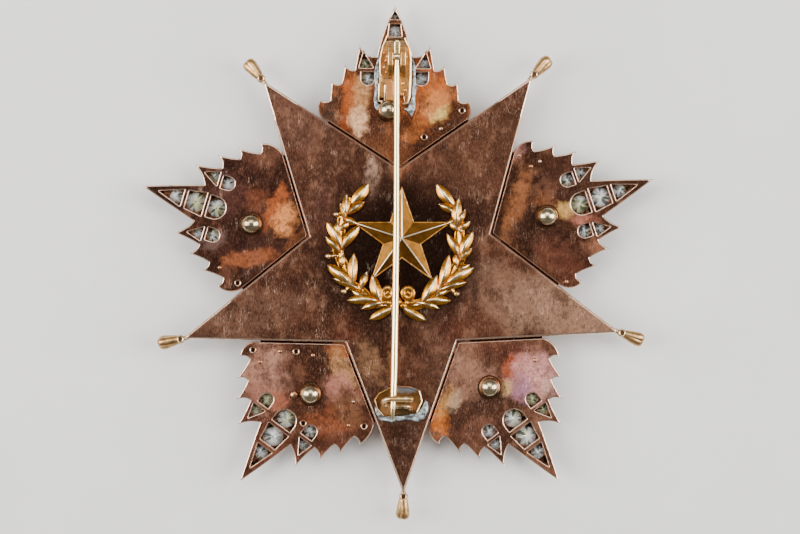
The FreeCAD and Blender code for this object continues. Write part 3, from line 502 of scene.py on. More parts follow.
def plate_paint(name, base, dark, light, patches=(), halos=(), shaded_below=None):
    """Oxidised plate, brushed up and down, with heat-tinted patches, some of them painted highlights and
    painted shadows, and polished edges. Where a height is given, its sides below it are painted near black
    as painted shade.
    """
    look = Paint(name)
    cloud = look.noise(8.0, 5.0, shift=3.1)
    colour = look.mix(look.span(cloud, 0.36, 0.62, 0.75, 0.0), base, dark)
    mottle = look.noise(1.6, 5.0, (1.0, 1.7, 1.0), shift=8.3, rough=0.65)
    colour = look.mix(look.span(mottle, 0.5, 0.72, 0.0, 0.5), colour, light)
    colour = look.mix(look.span(mottle, 0.3, 0.45, 0.45, 0.0), colour, dark)
    blotch = look.noise(3.4, 5.0, (1.0, 1.4, 1.0), shift=14.0, rough=0.62)
    colour = look.patched(colour, patches, 0.4, 0.45, 0.45)
    colour = look.mix(look.span(blotch, 0.36, 0.5, 0.6, 0.0), colour, dark)
    colour = look.mix(look.span(blotch, 0.54, 0.68, 0.0, 0.4), colour, light)
    bare = 1.0
    for reach, soft, ragged, share, tint in halos:
        mask = look.times(look.spot(seen(*WREATH_PX), reach * PIXEL, soft, ragged), share)
        colour = look.mix(mask, colour, paint(*tint))
        bare = look.times(bare, look.math("SUBTRACT", 1.0, look.times(mask, 0.6)))
    pits = look.span(look.noise(0.5, 4.0, shift=12.0, rough=0.65), 0.56, 0.68)
    colour = look.mix(look.times(pits, 0.5), colour, dark)
    grain = look.noise(0.13, 4.0, (1.0, 5.0, 1.0), 0.03, shift=1.7, rough=0.7)
    colour = look.mix(look.span(grain, 0.36, 0.5, 0.45, 0.0), colour, dark)
    colour = look.mix(look.times(look.span(grain, 0.52, 0.66, 0.0, 0.35), bare), colour, light)
    lines = look.scratches(0.05, 16.0, 0.05, 5.0, 0.007)
    lines = look.times(lines, look.span(look.noise(2.5, 2.0, shift=4.0), 0.5, 0.64))
    colour = look.mix(look.times(lines, 0.35), colour, EDGE)
    specks = look.span(look.noise(0.2, 2.0, shift=9.0), 0.64, 0.72)
    colour = look.mix(look.times(look.times(specks, 0.4), bare), colour, light)
    # Painted shade: the sides below the leaf's top, and the strip in the gap beside the star, are painted
    # near black, standing in for the shadow in that gap.
    if shaded_below is not None:
        height = look.height()
        deep = look.times(look.span(height, shaded_below - 0.5, shaded_below - 0.15, 0.9, 0.0),
                          look.span(height, LEAF_FRONT + 0.04, LEAF_FRONT + 0.1))
        colour = look.mix(deep, colour, paint(34, 20, 14))
    bright = look.span(look.worn, 0.25, 0.7)
    chips = look.span(look.noise(0.8, 3.0, shift=6.0), 0.3, 0.45, 0.5, 1.0)
    bright = look.times(bright, chips)
    colour = look.mix(bright, colour, EDGE)
    roughness = look.span(grain, 0.3, 0.7, 0.34, 0.46)
    roughness = look.between(bright, roughness, 0.24)
    height = look.math("ADD", look.times(grain, 0.5), look.times(cloud, 0.6))
    height = look.math("SUBTRACT", height, look.times(lines, 0.25))
    return look.metal(colour, roughness, height, strength=0.6, reach=0.03)


def gold_paint(name, deep, base, worn, roughness=0.28, size=2.2, mottle=0.3, wear_from=0.6, patches=()):
    """Gold that is deep in its hollows, and worn to a paler metal on its ridges."""
    look = Paint(name)
    colour = look.mix(look.span(look.worn, 0.0, 0.35), deep, base)
    cloud = look.noise(size, 4.0, shift=2.0)
    colour = look.mix(look.span(cloud, 0.36, 0.6, mottle, 0.0), colour, deep)
    colour = look.patched(colour, patches, 0.5, 0.4)
    rubbed = look.span(look.noise(0.7, 4.0, shift=5.5), 0.3, 0.7, -0.2, 0.2, False)
    wear = look.math("ADD", look.worn, rubbed)
    wear = look.span(wear, wear_from - 0.15, wear_from + 0.25)
    colour = look.mix(wear, colour, worn)
    grain = look.noise(0.2, 4.0, shift=7.0)
    colour = look.mix(look.span(grain, 0.3, 0.45, 0.25, 0.0), colour, deep)
    rough = look.span(grain, 0.3, 0.7, roughness - 0.05, roughness + 0.08)
    rough = look.between(wear, rough, roughness * 0.8)
    return look.metal(colour, rough, grain, strength=0.3, reach=0.02)


def setting_paint():
    """Plate round the stones, polished in front and dark behind."""
    look = Paint("setting")
    dark_back = look.span(look.noise(0.9, 4.0, shift=3.0), 0.4, 0.6)
    dark_back = look.mix(dark_back, paint(40, 24, 17), paint(128, 86, 60))
    behind = look.span(look.height(), LEAF_FRONT - 0.3, LEAF_FRONT - 0.2)
    colour = look.mix(behind, paint(206, 164, 136), dark_back)
    grain = look.noise(0.2, 4.0, shift=7.0)
    return look.metal(colour, look.span(grain, 0.3, 0.7, 0.26, 0.4), grain, strength=0.3, reach=0.02)


def solder_paint():
    """Grey solder, matt and lumpy."""
    look = Paint("solder")
    cloud = look.noise(0.8, 5.0, shift=1.0, rough=0.7)
    colour = look.mix(look.span(cloud, 0.34, 0.68), paint(84, 88, 88), paint(196, 203, 203))
    tint = look.span(look.noise(2.6, 3.0, shift=4.0), 0.54, 0.66, 0.0, 0.4)
    colour = look.mix(tint, colour, paint(150, 112, 84))
    grain = look.noise(0.22, 4.0, shift=6.0)
    return look.metal(colour, look.span(grain, 0.3, 0.7, 0.34, 0.6), grain, strength=0.8, reach=0.06)


def stone_paint(name):
    """Cut stones backed with foil. Each of their facets is painted its own brightness, painted glints and
    dark facets standing in for the light the stones throw back, and some stones are yellowish.
    """
    look = Paint(name)
    normal = look.node("NewGeometry").outputs["True Normal"]
    both = {0: look.scaled(normal, 6.0), 1: look.scaled(look.place, 0.09)}
    key = look.node("VectorMath", both, operation="ADD").outputs[0]
    facet_glint = look.node("TexNoise", {"Vector": key, "Scale": 1.0, "Detail": 1.0}).outputs["Fac"]
    colour = look.mix(look.span(facet_glint, 0.36, 0.56), paint(112, 120, 114), paint(255, 255, 252))
    tint = look.span(look.noise(6.0, 1.0, shift=2.5), 0.48, 0.58, 0.0, 0.7)
    colour = look.mix(tint, colour, paint(206, 202, 132), "MULTIPLY")
    return look.surface(Base_Color=colour, Metallic=0.1, Roughness=0.07, IOR=2.1, Transmission_Weight=0.2)


def floor_paint():
    """Pale, faintly clouded table."""
    look = Paint("floor")
    grain = look.noise(30.0, 3.0)
    colour = look.mix(look.span(grain, 0.3, 0.7), paint(226, 224, 221), paint(231, 229, 226))
    return look.surface(Base_Color=colour, Roughness=0.8)


WREATH_PX = (400.0, 252.0)
WREATH_HALOS = [
    # Darker round the wreath and within it: reach in pixels, softness, unevenness, share, screen colour
    (80, 0.25, 0.16, 0.9, (36, 21, 16)),
    (54, 0.2, 0.2, 0.85, (20, 11, 8)),
]

# Tinted patches, and among them painted highlights and painted shadows: place and reach in pixels, stretch
# across and up, turn in degrees, screen colour, share
STAR_TINTS_AND_PAINTED_LIGHT = [
    (372, 176, 7, 1.0, 2.6, 0, (206, 164, 138), 0.85),
    (402, 168, 9, 1.0, 1.6, 0, (194, 122, 86), 0.7),
    (300, 120, 34, 0.8, 1.4, 30, (122, 84, 68), 0.5),
    (480, 150, 40, 0.8, 1.4, -30, (88, 58, 42), 0.6),
    (240, 318, 36, 1.7, 0.6, 15, (124, 90, 72), 0.5),
    # The right arm is painted lighter, this and the next line: painted light from the lamp on the right.
    (560, 310, 44, 1.7, 0.7, -15, (176, 134, 108), 0.8),
    (500, 290, 26, 1.3, 0.8, -30, (150, 110, 88), 0.6),
    (345, 330, 16, 1.0, 1.0, 0, (100, 52, 36), 0.5),
    (370, 362, 14, 0.8, 1.6, 20, (176, 128, 92), 0.6),
    (440, 350, 22, 0.8, 1.5, 0, (118, 82, 66), 0.5),
    (452, 330, 14, 1.0, 1.0, 0, (96, 50, 36), 0.5),
    (404, 450, 28, 0.7, 1.5, 0, (70, 48, 38), 0.7),
    (322, 205, 15, 0.8, 1.6, 0, (92, 60, 52), 0.5),
    (362, 234, 9, 0.8, 1.4, 0, (150, 96, 66), 0.6),
]

LEAF_TINTS_AND_PAINTED_LIGHT = {
    "top": [
        (400, 150, 36, 1.5, 0.6, 0, (98, 60, 40), 0.85),
        (350, 94, 12, 0.6, 2.2, 0, (188, 98, 48), 0.85),
        (362, 92, 10, 0.8, 1.8, 0, (214, 156, 100), 0.8),
        (430, 96, 24, 1.0, 1.3, 0, (202, 106, 50), 0.9),
        (437, 104, 14, 1.1, 1.0, 20, (222, 138, 78), 0.85),
        # Painted highlight on the top leaf.
        (441, 114, 9, 1.3, 0.7, 30, (240, 200, 112), 0.95),
        (416, 132, 12, 1.2, 0.7, 30, (196, 112, 58), 0.8),
        (436, 136, 18, 1.7, 0.6, 35, (56, 36, 28), 0.9),
        (458, 112, 10, 0.8, 1.3, 0, (62, 40, 32), 0.9),
        (330, 120, 11, 0.8, 1.4, 0, (72, 54, 44), 0.9),
        (345, 120, 8, 0.6, 1.8, 0, (158, 74, 34), 0.7),
        # Painted highlight.
        (358, 120, 11, 0.8, 1.3, 5, (255, 200, 150), 1.0),
        (364, 60, 12, 0.9, 1.2, 0, (40, 26, 22), 0.95),
        (440, 66, 12, 1.0, 1.0, 0, (134, 70, 52), 0.7),
    ],
    "right": [
        (516, 205, 14, 0.7, 2.4, -18, (158, 98, 62), 0.9),
        (566, 210, 9, 1.1, 0.9, -15, (238, 182, 104), 0.95),
        (546, 200, 12, 1.1, 0.8, 0, (132, 78, 46), 0.6),
        (584, 219, 11, 1.4, 0.6, 0, (196, 120, 98), 0.8),
        (594, 246, 12, 1.1, 0.8, 30, (168, 112, 84), 0.8),
        (566, 178, 20, 1.2, 1.0, 20, (66, 42, 34), 0.8),
        (540, 232, 22, 1.4, 0.6, -10, (56, 36, 28), 0.85),
        (560, 258, 24, 1.3, 0.8, -30, (104, 60, 46), 0.7),
        (518, 152, 8, 1.3, 0.7, 40, (178, 124, 112), 0.8),
        (590, 205, 10, 1.0, 1.0, 0, (98, 52, 48), 0.7),
    ],
    "left": [
        (250, 258, 16, 1.7, 0.5, 8, (168, 96, 60), 0.85),
        (246, 242, 18, 1.5, 0.5, 5, (64, 40, 34), 0.85),
        (256, 200, 12, 1.0, 1.0, 0, (126, 70, 46), 0.6),
        # Painted reflection along the left leaf's inner edge, this and the next line.
        (276, 205, 13, 0.6, 1.7, -25, (196, 104, 58), 0.85),
        (285, 219, 14, 0.8, 1.1, -20, (250, 158, 92), 0.95),
        # Painted shadow in the gap along the star's edge.
        (279, 172, 9, 0.45, 3.4, -22, (44, 26, 18), 0.9),
        (228, 195, 18, 1.0, 1.2, 0, (86, 54, 48), 0.7),
        (262, 152, 16, 1.4, 0.8, -20, (104, 68, 52), 0.7),
        (214, 240, 10, 1.3, 0.8, 30, (124, 96, 88), 0.7),
        (300, 240, 12, 1.4, 0.7, 30, (132, 78, 48), 0.8),
    ],
    "lower_left": [
        (266, 374, 24, 1.0, 1.3, 0, (198, 142, 118), 0.95),
        (258, 392, 12, 1.0, 1.0, 0, (164, 108, 92), 0.7),
        (306, 366, 24, 1.0, 1.0, 0, (58, 36, 26), 0.9),
        (338, 354, 11, 1.0, 1.2, 0, (182, 108, 60), 0.8),
        (343, 371, 13, 0.8, 1.4, 20, (216, 160, 108), 0.9),
        (339, 386, 13, 1.1, 1.0, 0, (212, 140, 120), 0.85),
        (330, 420, 20, 1.4, 0.7, 10, (166, 92, 58), 0.75),
        (348, 410, 16, 0.8, 1.2, 20, (126, 86, 60), 0.8),
        (276, 402, 10, 1.2, 1.0, 0, (186, 108, 82), 0.8),
        (318, 404, 12, 1.0, 0.8, 0, (60, 38, 30), 0.7),
    ],
    "lower_right": [
        (464, 376, 24, 1.2, 1.1, 0, (176, 128, 104), 0.8),
        (474, 410, 20, 1.8, 0.5, 20, (58, 38, 30), 0.85),
        (500, 352, 20, 1.6, 0.6, -5, (92, 52, 40), 0.8),
        (514, 370, 12, 0.9, 1.3, -20, (190, 88, 54), 0.85),
        (534, 378, 24, 0.95, 1.0, 0, (240, 166, 158), 0.95),
        (521, 388, 11, 0.8, 1.3, 0, (168, 120, 150), 0.75),
        (549, 386, 9, 0.8, 1.3, 0, (228, 176, 158), 0.85),
        (506, 388, 6, 1.0, 1.3, 0, (236, 188, 126), 0.9),
        (440, 420, 11, 0.8, 1.5, 0, (226, 120, 44), 0.95),
        (446, 402, 9, 0.6, 1.8, -22, (222, 158, 90), 0.9),
        (454, 402, 8, 0.8, 1.4, -22, (206, 168, 132), 0.8),
        (484, 430, 16, 1.3, 0.7, 0, (98, 58, 48), 0.6),
    ],
}


# The back plate of the star and the leaves

STAR_WAVE = 0.05            # height of the plate's unevenness
EDGE_DULL = 0.55            # wear left on the star's edges beside the upper leaves
DULL_ABOVE = -6.0
DULL_WITHIN = 34.0
ARMS = 5
HALF_STEP = 180 / ARMS
LEAVES = [
    # name, direction, stud across, stud outward
    ("top", 90.0, -1.65, 27.1),
    ("left", 162.0, -0.95, 27.0),
    ("lower_left", 234.0, -0.25, 27.6),
    ("lower_right", 306.0, 0.35, 26.6),
    ("right", 18.0, 0.35, 27.1),
]
STONES = ["point", "upper", "middle", "side_left", "side_right", "lower_left", "lower_right"]
TONGUE_HALF = 1.75
TONGUE_INNER = 13.9
TONGUE_OUTER = 20.0
TONGUE_BOTTOM = 4.45
TONGUE_TOP = LEAF_BACK - 0.1


def tilt(angle, axis):
    return Matrix.Rotation(math.radians(angle), 4, axis)


def turned_by(angle, place=(0, 0, 0)):
    """Matrix of a turn in degrees about the vertical through a place."""
    return Matrix.Translation(place) @ tilt(angle, "Z")


def flat(across, up, angle):
    """Point of a frame that is turned by an angle in degrees about the star's centre."""
    return Matrix.Rotation(math.radians(angle), 3, "Z") @ Vector((across, up, 0))


def uneven(size, height, shift):
    """Wave of a plate's top, with swells of a size."""
    return lambda x, y: height * noise.noise(Vector((x / size, y / size, shift)))


def block(low, high, worn=0.0):
    """Box between two corners."""
    points = [(x, y, z) for x in (low[0], high[0]) for y in (low[1], high[1]) for z in (low[2], high[2])]
    faces = [(0, 1, 3, 2), (4, 6, 7, 5), (0, 4, 5, 1), (2, 3, 7, 6), (0, 2, 6, 4), (1, 5, 7, 3)]
    return Shape().add(points, faces, worn)


back_metal = plate_paint("back_plate", paint(92, 57, 42), paint(48, 29, 22), paint(158, 112, 86),
                         STAR_TINTS_AND_PAINTED_LIGHT, WREATH_HALOS)
star_loops = outline_of("star_back", PLATE_BOTTOM, upper=False)
star = build_plate(star_loops, PLATE_BOTTOM, PLATE_TOP, 0.36, 0.35, 1.1, uneven(9.0, STAR_WAVE, 3.0))
star.worn = [wear * (EDGE_DULL if DULL_ABOVE < point.y and point.length < DULL_WITHIN else 1.0)
             for point, wear in zip(star.points, star.worn)]
add_piece("star_plate", star, back_metal, instead=["star_back"])

LEAF_PAINTS = {
    # base, dark, light
    "top": (paint(100, 56, 36), paint(46, 28, 20), paint(172, 108, 72)),
    "right": (paint(66, 40, 28), paint(38, 24, 18), paint(138, 92, 68)),
    "left": (paint(62, 38, 30), paint(38, 24, 19), paint(138, 88, 66)),
    "lower_left": (paint(108, 64, 48), paint(50, 31, 23), paint(164, 108, 82)),
    "lower_right": (paint(120, 78, 58), paint(54, 34, 26), paint(176, 124, 98)),
}
TIP = flat(40.3, 0, 90 - HALF_STEP)
NOTCH = 16.7
NOTCH_ZONE = 4.0            # how far from the notch a leaf's outline can still belong to it
ARM_SLOPE = (TIP.y - NOTCH) / TIP.x
EDGE_GAP = 0.3
LOBE_END = 12.3
SHADOW_LEDGE_HALF = EDGE_GAP / 2 + 0.04
SHADOW_LEDGE_TOP = LEAF_FRONT + 0.75


def beside_star(across, gap):
    """Point of a leaf's frame at a gap from the star's edge."""
    return Vector((across, NOTCH + ARM_SLOPE * abs(across) + gap * math.hypot(1, ARM_SLOPE), 0))


def with_notch(loop, direction):
    """Leaf outline that runs on into the notch between two arms, where the CAD has a tongue."""
    tip = flat(*beside_star(0, EDGE_GAP).xy, direction - 90)
    corners = [flat(x, y, 90 - direction) for x, y in loop]
    for number, corner in enumerate(corners):
        after = corners[(number + 1) % len(corners)]
        near = max(corner.y, after.y) < NOTCH + NOTCH_ZONE
        if near and abs(corner.x - after.x) > TONGUE_HALF:
            return np.insert(loop, number + 1, (tip.x, tip.y), axis=0)
    return loop


leaf_loops = {}
for name, direction, stud_across, stud_out in LEAVES:
    metal = plate_paint("leaf_" + name + "_metal", *LEAF_PAINTS[name], LEAF_TINTS_AND_PAINTED_LIGHT[name], (), LEAF_BACK)
    loops = outline_of("leaf_" + name, LEAF_FRONT, upper=False)
    leaf_loops[name] = loops
    loops = [with_notch(loops[0], direction)] + loops[1:]
    plate = build_plate(loops, LEAF_FRONT, LEAF_BACK, 0.2, 0.28, 1.0, uneven(5.0, 0.07, direction))
    tongue = block((-TONGUE_HALF, TONGUE_INNER, TONGUE_BOTTOM), (TONGUE_HALF, TONGUE_OUTER, TONGUE_TOP))
    plate.join(tongue, turned_by(direction - 90))
    # Painted shadow: a low strip in the gap beside the star's edge, painted dark so that the gap shows as a
    # shadow line.
    shadow_ledge = strip([beside_star(across, EDGE_GAP / 2) for across in (-LOBE_END, 0, LOBE_END)],
                  SHADOW_LEDGE_HALF, LEAF_FRONT + 0.05, SHADOW_LEDGE_TOP, (0, 0))
    plate.join(shadow_ledge, turned_by(direction - 90))
    add_piece("leaf_plate_" + name, plate, metal, instead=["leaf_" + name])


# Stones, each cut as an old brilliant with its table towards the front

STONE_GIRDLE = 0.04         # of the radius, as the rest of these
STONE_CROWN = 0.36
STONE_TABLE = 0.56
STONE_SHOULDER = 0.8        # where the crown's kites are widest
STONE_DEPTH = 0.86
STONE_BELLY = 0.42          # where the pavilion's kites are widest
STONE_CULET = 0.1
KITES = 8


def brilliant(centre, radius, turn):
    def ring(reach, height, half):
        angles = [2 * math.pi * (number + half) / KITES + turn for number in range(KITES)]
        return [centre + Vector((reach * math.cos(angle), reach * math.sin(angle), height)) * radius
                for angle in angles]

    narrow = math.cos(math.pi / KITES)
    table_height = -STONE_GIRDLE - STONE_CROWN
    culet_height = STONE_GIRDLE + STONE_DEPTH * (1 - STONE_CULET)
    crown_share = (STONE_SHOULDER * narrow - STONE_TABLE) / (1 - STONE_TABLE)
    back_share = (STONE_BELLY * narrow - STONE_CULET) / (1 - STONE_CULET)
    rings = [
        ring(STONE_TABLE, table_height, 0),
        ring(STONE_SHOULDER, table_height + (-STONE_GIRDLE - table_height) * crown_share, 0.5),
        ring(1.0, -STONE_GIRDLE, 0), ring(1.0, -STONE_GIRDLE, 0.5),
        ring(1.0, STONE_GIRDLE, 0), ring(1.0, STONE_GIRDLE, 0.5),
        ring(STONE_BELLY, culet_height + (STONE_GIRDLE - culet_height) * back_share, 0.5),
        ring(STONE_CULET, culet_height, 0),
    ]
    table, shoulder, low, low_half, high, high_half, belly, culet = (KITES * number for number in range(8))
    faces = [list(reversed(range(table, table + KITES))), list(range(culet, culet + KITES))]
    for this in range(KITES):
        after = (this + 1) % KITES
        before = (this - 1) % KITES
        faces += [
            [table + this, table + after, shoulder + this],
            [table + this, shoulder + this, low + this, shoulder + before],
            [shoulder + this, low_half + this, low + this],
            [shoulder + this, low + after, low_half + this],
            [low + this, low_half + this, high_half + this, high + this],
            [low_half + this, low + after, high + after, high_half + this],
            [belly + this, high + this, high_half + this],
            [belly + this, high_half + this, high + after],
            [culet + this, belly + before, high + this, belly + this],
            [culet + this, belly + this, culet + after],
        ]
    return Shape().add([point for row in rings for point in row], faces)


def opening_round(name, place):
    """The leaf's opening that lies nearest to a place."""
    def far(loop):
        return np.linalg.norm(loop.mean(axis=0) - (place.x, place.y))

    return min(leaf_loops[name][1:], key=far)


clear = stone_paint("clear_stone")
setting_metal = setting_paint()
SETTING_LAP = 0.27          # how far a setting reaches under the leaf beyond its opening
SETTING_HOLD = 0.12         # and over the stone's girdle
SETTING_SIDES = 40
STONE_TURNS = {"point": 4, "upper": 17, "middle": 9, "side_left": 31, "side_right": 12,
               "lower_left": 22, "lower_right": 38}
for name, direction, stud_across, stud_out in LEAVES:
    cut = Shape()
    setting = Shape()
    for stone in STONES:
        corners = [vertex.co / MM for vertex in nodes["stone_%s_%s" % (name, stone)].data.vertices]
        tip = max(corners, key=lambda corner: corner.z)
        radius = max((corner - tip).to_2d().length for corner in corners)
        girdle = Vector((tip.x, tip.y, tip.z - radius * (STONE_DEPTH + STONE_GIRDLE)))
        cut.join(brilliant(girdle, radius, math.radians(direction + STONE_TURNS[stone])))
        middle = np.array((tip.x, tip.y))
        opening = opening_round(name, tip)
        nearest = edge_distance(middle[None, :], [opening])[0]
        outer = middle + (opening[::-1] - middle) * (1 + SETTING_LAP / nearest)
        hole = []
        for step in range(SETTING_SIDES):
            turn = -2 * math.pi * step / SETTING_SIDES
            hole.append(middle + np.array((math.cos(turn), math.sin(turn))) * (radius - SETTING_HOLD))
        low = girdle.z - radius * (STONE_GIRDLE + 0.1)
        setting.join(build_plate([outer, np.array(hole)], low, LEAF_FRONT - 0.01, 0.06, 0.3, 0.6))
    add_piece("stones_" + name, cut, clear, sharp=1.0,
              instead=["stone_%s_%s" % (name, stone) for stone in STONES])
    add_piece("setting_" + name, setting, setting_metal)


# Ball nuts, and the rivets of the settings

BALL_RADIUS = 1.85
BALL_HEIGHT = LEAF_BACK + 0.9
WASHER_RADIUS = 2.1
WASHER_THICK = 0.3
STUD_HEAD = 1.7
STUD_HEAD_THICK = 0.6
STUD_SHANK = 0.65
STUD_PLAY = 0.05
RING_PROFILE = [(0.64, -0.15), (0.64, 0.12), (0.58, 0.22), (0.48, 0.27), (0.38, 0.24), (0.33, 0.18),
                (0.31, 0.1)]
# Wear of each row of the ring; the hollow's rows are 0 and take the metal's deep colour, as painted shade of
# a hole.
RING_WEAR_AND_SHADE = [0.3, 0.3, 0.7, 0.8, 0.3, 0.0, 0.0]
RING_SIDES = 28
RIVET_RINGS = [
    # leaf, across and outward in pixels of the photograph
    ("top", 62, 154), ("top", 24, 127.5), ("lower_left", -66, 152.5), ("lower_left", 33, 132),
    ("lower_left", 69, 156), ("left", -68, 149), ("lower_left", -15, 186),
]
RIVET_BUMPS = [
    # leaf, across, outward, radius in pixels
    ("top", 41, 136, 2.4), ("lower_left", 17, 125, 2.4), ("lower_left", -43, 139, 2.2),
    ("lower_left", 46, 141, 2.4), ("lower_left", 56, 161.5, 2.4), ("lower_left", -53, 161, 2.2),
    ("lower_left", 9, 168, 4.6), ("lower_right", -53, 157, 2.4), ("right", -53, 155, 2.4),
    ("right", -67, 147, 2.2), ("right", 68, 153, 2.4), ("right", -55, 165, 2.0), ("left", -59, 171, 2.2),
]
DIRECTIONS = {row[0]: row[1] for row in LEAVES}


def on_leaf(name, across, outward):
    """Place of the photograph given along a leaf, in pixels from the star's centre."""
    turn = math.degrees(SEEN_TURN)
    return flat(across * PIXEL, outward * PIXEL, DIRECTIONS[name] - 90 - turn)


ball_metal = gold_paint("ball_gold", paint(92, 62, 42), paint(196, 176, 138), paint(236, 226, 204),
                        0.2, 1.6, 0.45)
rivet_metal = gold_paint("rivet_gold", paint(40, 24, 17), paint(170, 118, 84), paint(232, 196, 164), 0.3)
solder = solder_paint()
for name, direction, stud_across, stud_out in LEAVES:
    place = flat(stud_across, stud_out, direction - 90)
    washer_top = LEAF_BACK + WASHER_THICK
    head_top = LEAF_FRONT - STUD_PLAY
    head_low = head_top - STUD_HEAD_THICK
    profile = [(STUD_HEAD - 0.2, head_low), (STUD_HEAD, head_low + 0.18),
               (STUD_HEAD, head_top), (STUD_SHANK, head_top), (STUD_SHANK, LEAF_BACK + STUD_PLAY),
               (WASHER_RADIUS, LEAF_BACK + STUD_PLAY), (WASHER_RADIUS, washer_top - 0.1),
               (WASHER_RADIUS - 0.1, washer_top)]
    ball = ball_profile(BALL_RADIUS, washer_top - 0.1 - BALL_HEIGHT, BALL_RADIUS, 20, BALL_HEIGHT)
    stud = lathe(profile, 48, Matrix.Translation(place), 0.05)
    stud.join(lathe(ball, 48, Matrix.Translation(place), 0.5))
    add_piece("ball_nut_" + name, stud, ball_metal, instead=["stud_" + name])



def ring_at(x, y, height):
    """Flat ring whose hollow is painted dark, a painted shade standing in for a deep hole, its foot at a
    height.
    """
    wear = [level for level in RING_WEAR_AND_SHADE for _ in range(RING_SIDES)]
    return lathe(RING_PROFILE, RING_SIDES, Matrix.Translation((x, y, height)), wear)


rivets = Shape()
for name, across, outward in RIVET_RINGS:
    place = on_leaf(name, across, outward)
    rivets.join(ring_at(place.x, place.y, LEAF_BACK))
for name, across, outward, size in RIVET_BUMPS:
    place = on_leaf(name, across, outward)
    foot = (place.x, place.y, LEAF_BACK - 0.03)
    rivets.join(dome(foot, size * PIXEL, size * PIXEL * 0.6, 20, 6, 0.1, worn=0.5))
add_piece("rivets", rivets, rivet_metal)


# Buds on the points of the star

NECK_REACH = 40.694
BUD_HEIGHT = 5.05
BUD_DROP = 15.0
LOBE_LEAN = 7.0
BUDS = [
    # name, direction, how far it points aside from its arm, roll of its lobes
    ("upper_right", 54.0, -7.0, 40.0),
    ("upper_left", 126.0, 2.0, 100.0),
    ("left", 198.0, -8.0, 70.0),
    ("bottom", 270.0, -1.5, 30.0),
    ("right", 342.0, -3.0, 10.0),
]
LOBE_PROFILE = [(0.45, -0.2), (0.6, 0.0), (0.68, 0.4), (0.75, 0.85), (0.8, 1.3), (0.85, 1.8),
                (0.89, 2.4), (0.91, 2.9), (0.9, 3.25), (0.84, 3.55), (0.72, 3.82), (0.54, 4.02),
                (0.3, 4.12), (0.02, 4.15)]
COLLAR_PROFILE = [(0.3, -1.6), (0.4, -1.5), (0.42, -0.9), (0.5, -0.5), (0.66, -0.4), (0.78, -0.22),
                  (0.8, 0.05), (0.76, 0.3), (0.66, 0.5)]
COLLAR_TOP = 0.72
bud_metal = gold_paint("bud_gold", paint(104, 70, 42), paint(198, 156, 104), paint(244, 224, 192),
                       0.32, 0.8, 0.5)
for name, direction, aside, roll in BUDS:
    bud = lathe(COLLAR_PROFILE, 36, worn=0.62)
    for lobe in range(3):
        bud.join(lathe(LOBE_PROFILE, 36, worn=0.4), tilt(120 * lobe, "Z") @ tilt(LOBE_LEAN, "Y"))
    outward = flat(NECK_REACH, 0, direction)
    set_up = (turned_by(direction + aside, (outward.x, outward.y, BUD_HEIGHT))
              @ tilt(90 + BUD_DROP, "Y") @ tilt(roll, "Z"))
    placed = Shape().join(bud, set_up)
    placed.join(ring_at(outward.x, outward.y, BUD_HEIGHT + COLLAR_TOP))
    add_piece("bud_" + name, placed, bud_metal, instead=["finial_" + name])


# Laurel wreath with its ribbon, and the small star within it. They stand upright in the photograph.

LAUREL_LEFT = [
    # place along the branch in degrees, radius, lean outwards, length, width
    (138, 12.1, 6, 4.0, 1.6),
    (123, 11.6, 26, 3.9, 1.2),
    (122, 11.4, 47, 2.7, 0.9),
    (130, 11.1, -15, 3.0, 1.2),
    (96, 10.3, 37, 4.9, 1.4),
    (92, 10.8, 45, 3.3, 1.1),
    (96, 9.9, -33, 4.7, 1.4),
    (58, 10.2, 20, 5.1, 1.6),
    (52, 9.9, 30, 4.2, 1.1),
    (57, 9.7, -35, 5.1, 1.4),
    (47, 8.9, -60, 2.9, 1.1),
    (22, 9.0, -50, 4.6, 1.6),
    (27, 9.4, 27, 4.9, 1.4),
    (21, 9.5, 38, 3.6, 1.1),
]
LAUREL_RIGHT = [
    # place along the branch in degrees, radius, lean outwards, length, width
    (133, 12.6, 3, 4.3, 1.6),
    (128, 11.6, -23, 2.8, 1.1),
    (116, 11.1, 30, 4.6, 1.4),
    (117, 11.9, 49, 2.3, 1.1),
    (111, 11.7, 70, 1.9, 1.1),
    (88, 10.8, 25, 4.5, 1.4),
    (87, 10.2, -30, 4.3, 1.2),
    (85, 11.1, 37, 2.4, 1.1),
    (58, 10.0, 28, 5.2, 1.6),
    (52, 10.1, 37, 4.0, 1.1),
    (51, 9.1, -22, 5.5, 1.4),
    (26, 9.3, -34, 5.0, 1.6),
    (28, 9.6, 28, 4.4, 1.4),
    (24, 9.8, 40, 3.1, 1.1),
]
BERRIES = [
    # side, place along the branch, radius
    (-1, 121, 12.9),
    (-1, 87, 12.5),
    (-1, 55, 11.9),
    (1, 54, 12.3),
]
WREATH_CENTRE = Vector((-0.1, 2.1, 0))
SMALL_STAR_CENTRE = Vector((0.3, 4.6, 0))
SMALL_STAR = 8.8
SMALL_STAR_RATIO = 0.385
SMALL_STAR_RISE = 1.55
SMALL_STAR_FLOOR = 0.3
KNOT_CENTRE = Vector((-0.4, -6.9, 0))
BOW_LOOPS = [(-1.75, 1.9), (1.75, 1.9)]
RIBBON_TAILS = [
    # end across, end up, from the knot
    (-5.0, -2.7),
    (4.9, -2.9),
]
STEM_FROM = 6
STEM_TO = 138
STEM_HALF_WIDTH = 0.38
STEM_RISE = 0.75
BLADE_ROOT = 0.9
BLADE_PLUMP = 1.35
SPRIGS = [
    # place along the branch in degrees, lean outwards
    (14, 10), (36, 8), (40, -40), (70, 40), (74, -20), (104, 12), (108, -30),
]
BED_RISE = 0.5
KNOT_LUMPS = [
    # across, up, radius, height
    (0.0, 0.3, 1.0, 1.2), (0.9, -0.3, 0.8, 1.0), (-0.8, -0.4, 0.8, 0.95), (1.5, 0.2, 0.6, 0.8),
    (-1.5, 0.2, 0.6, 0.8),
]
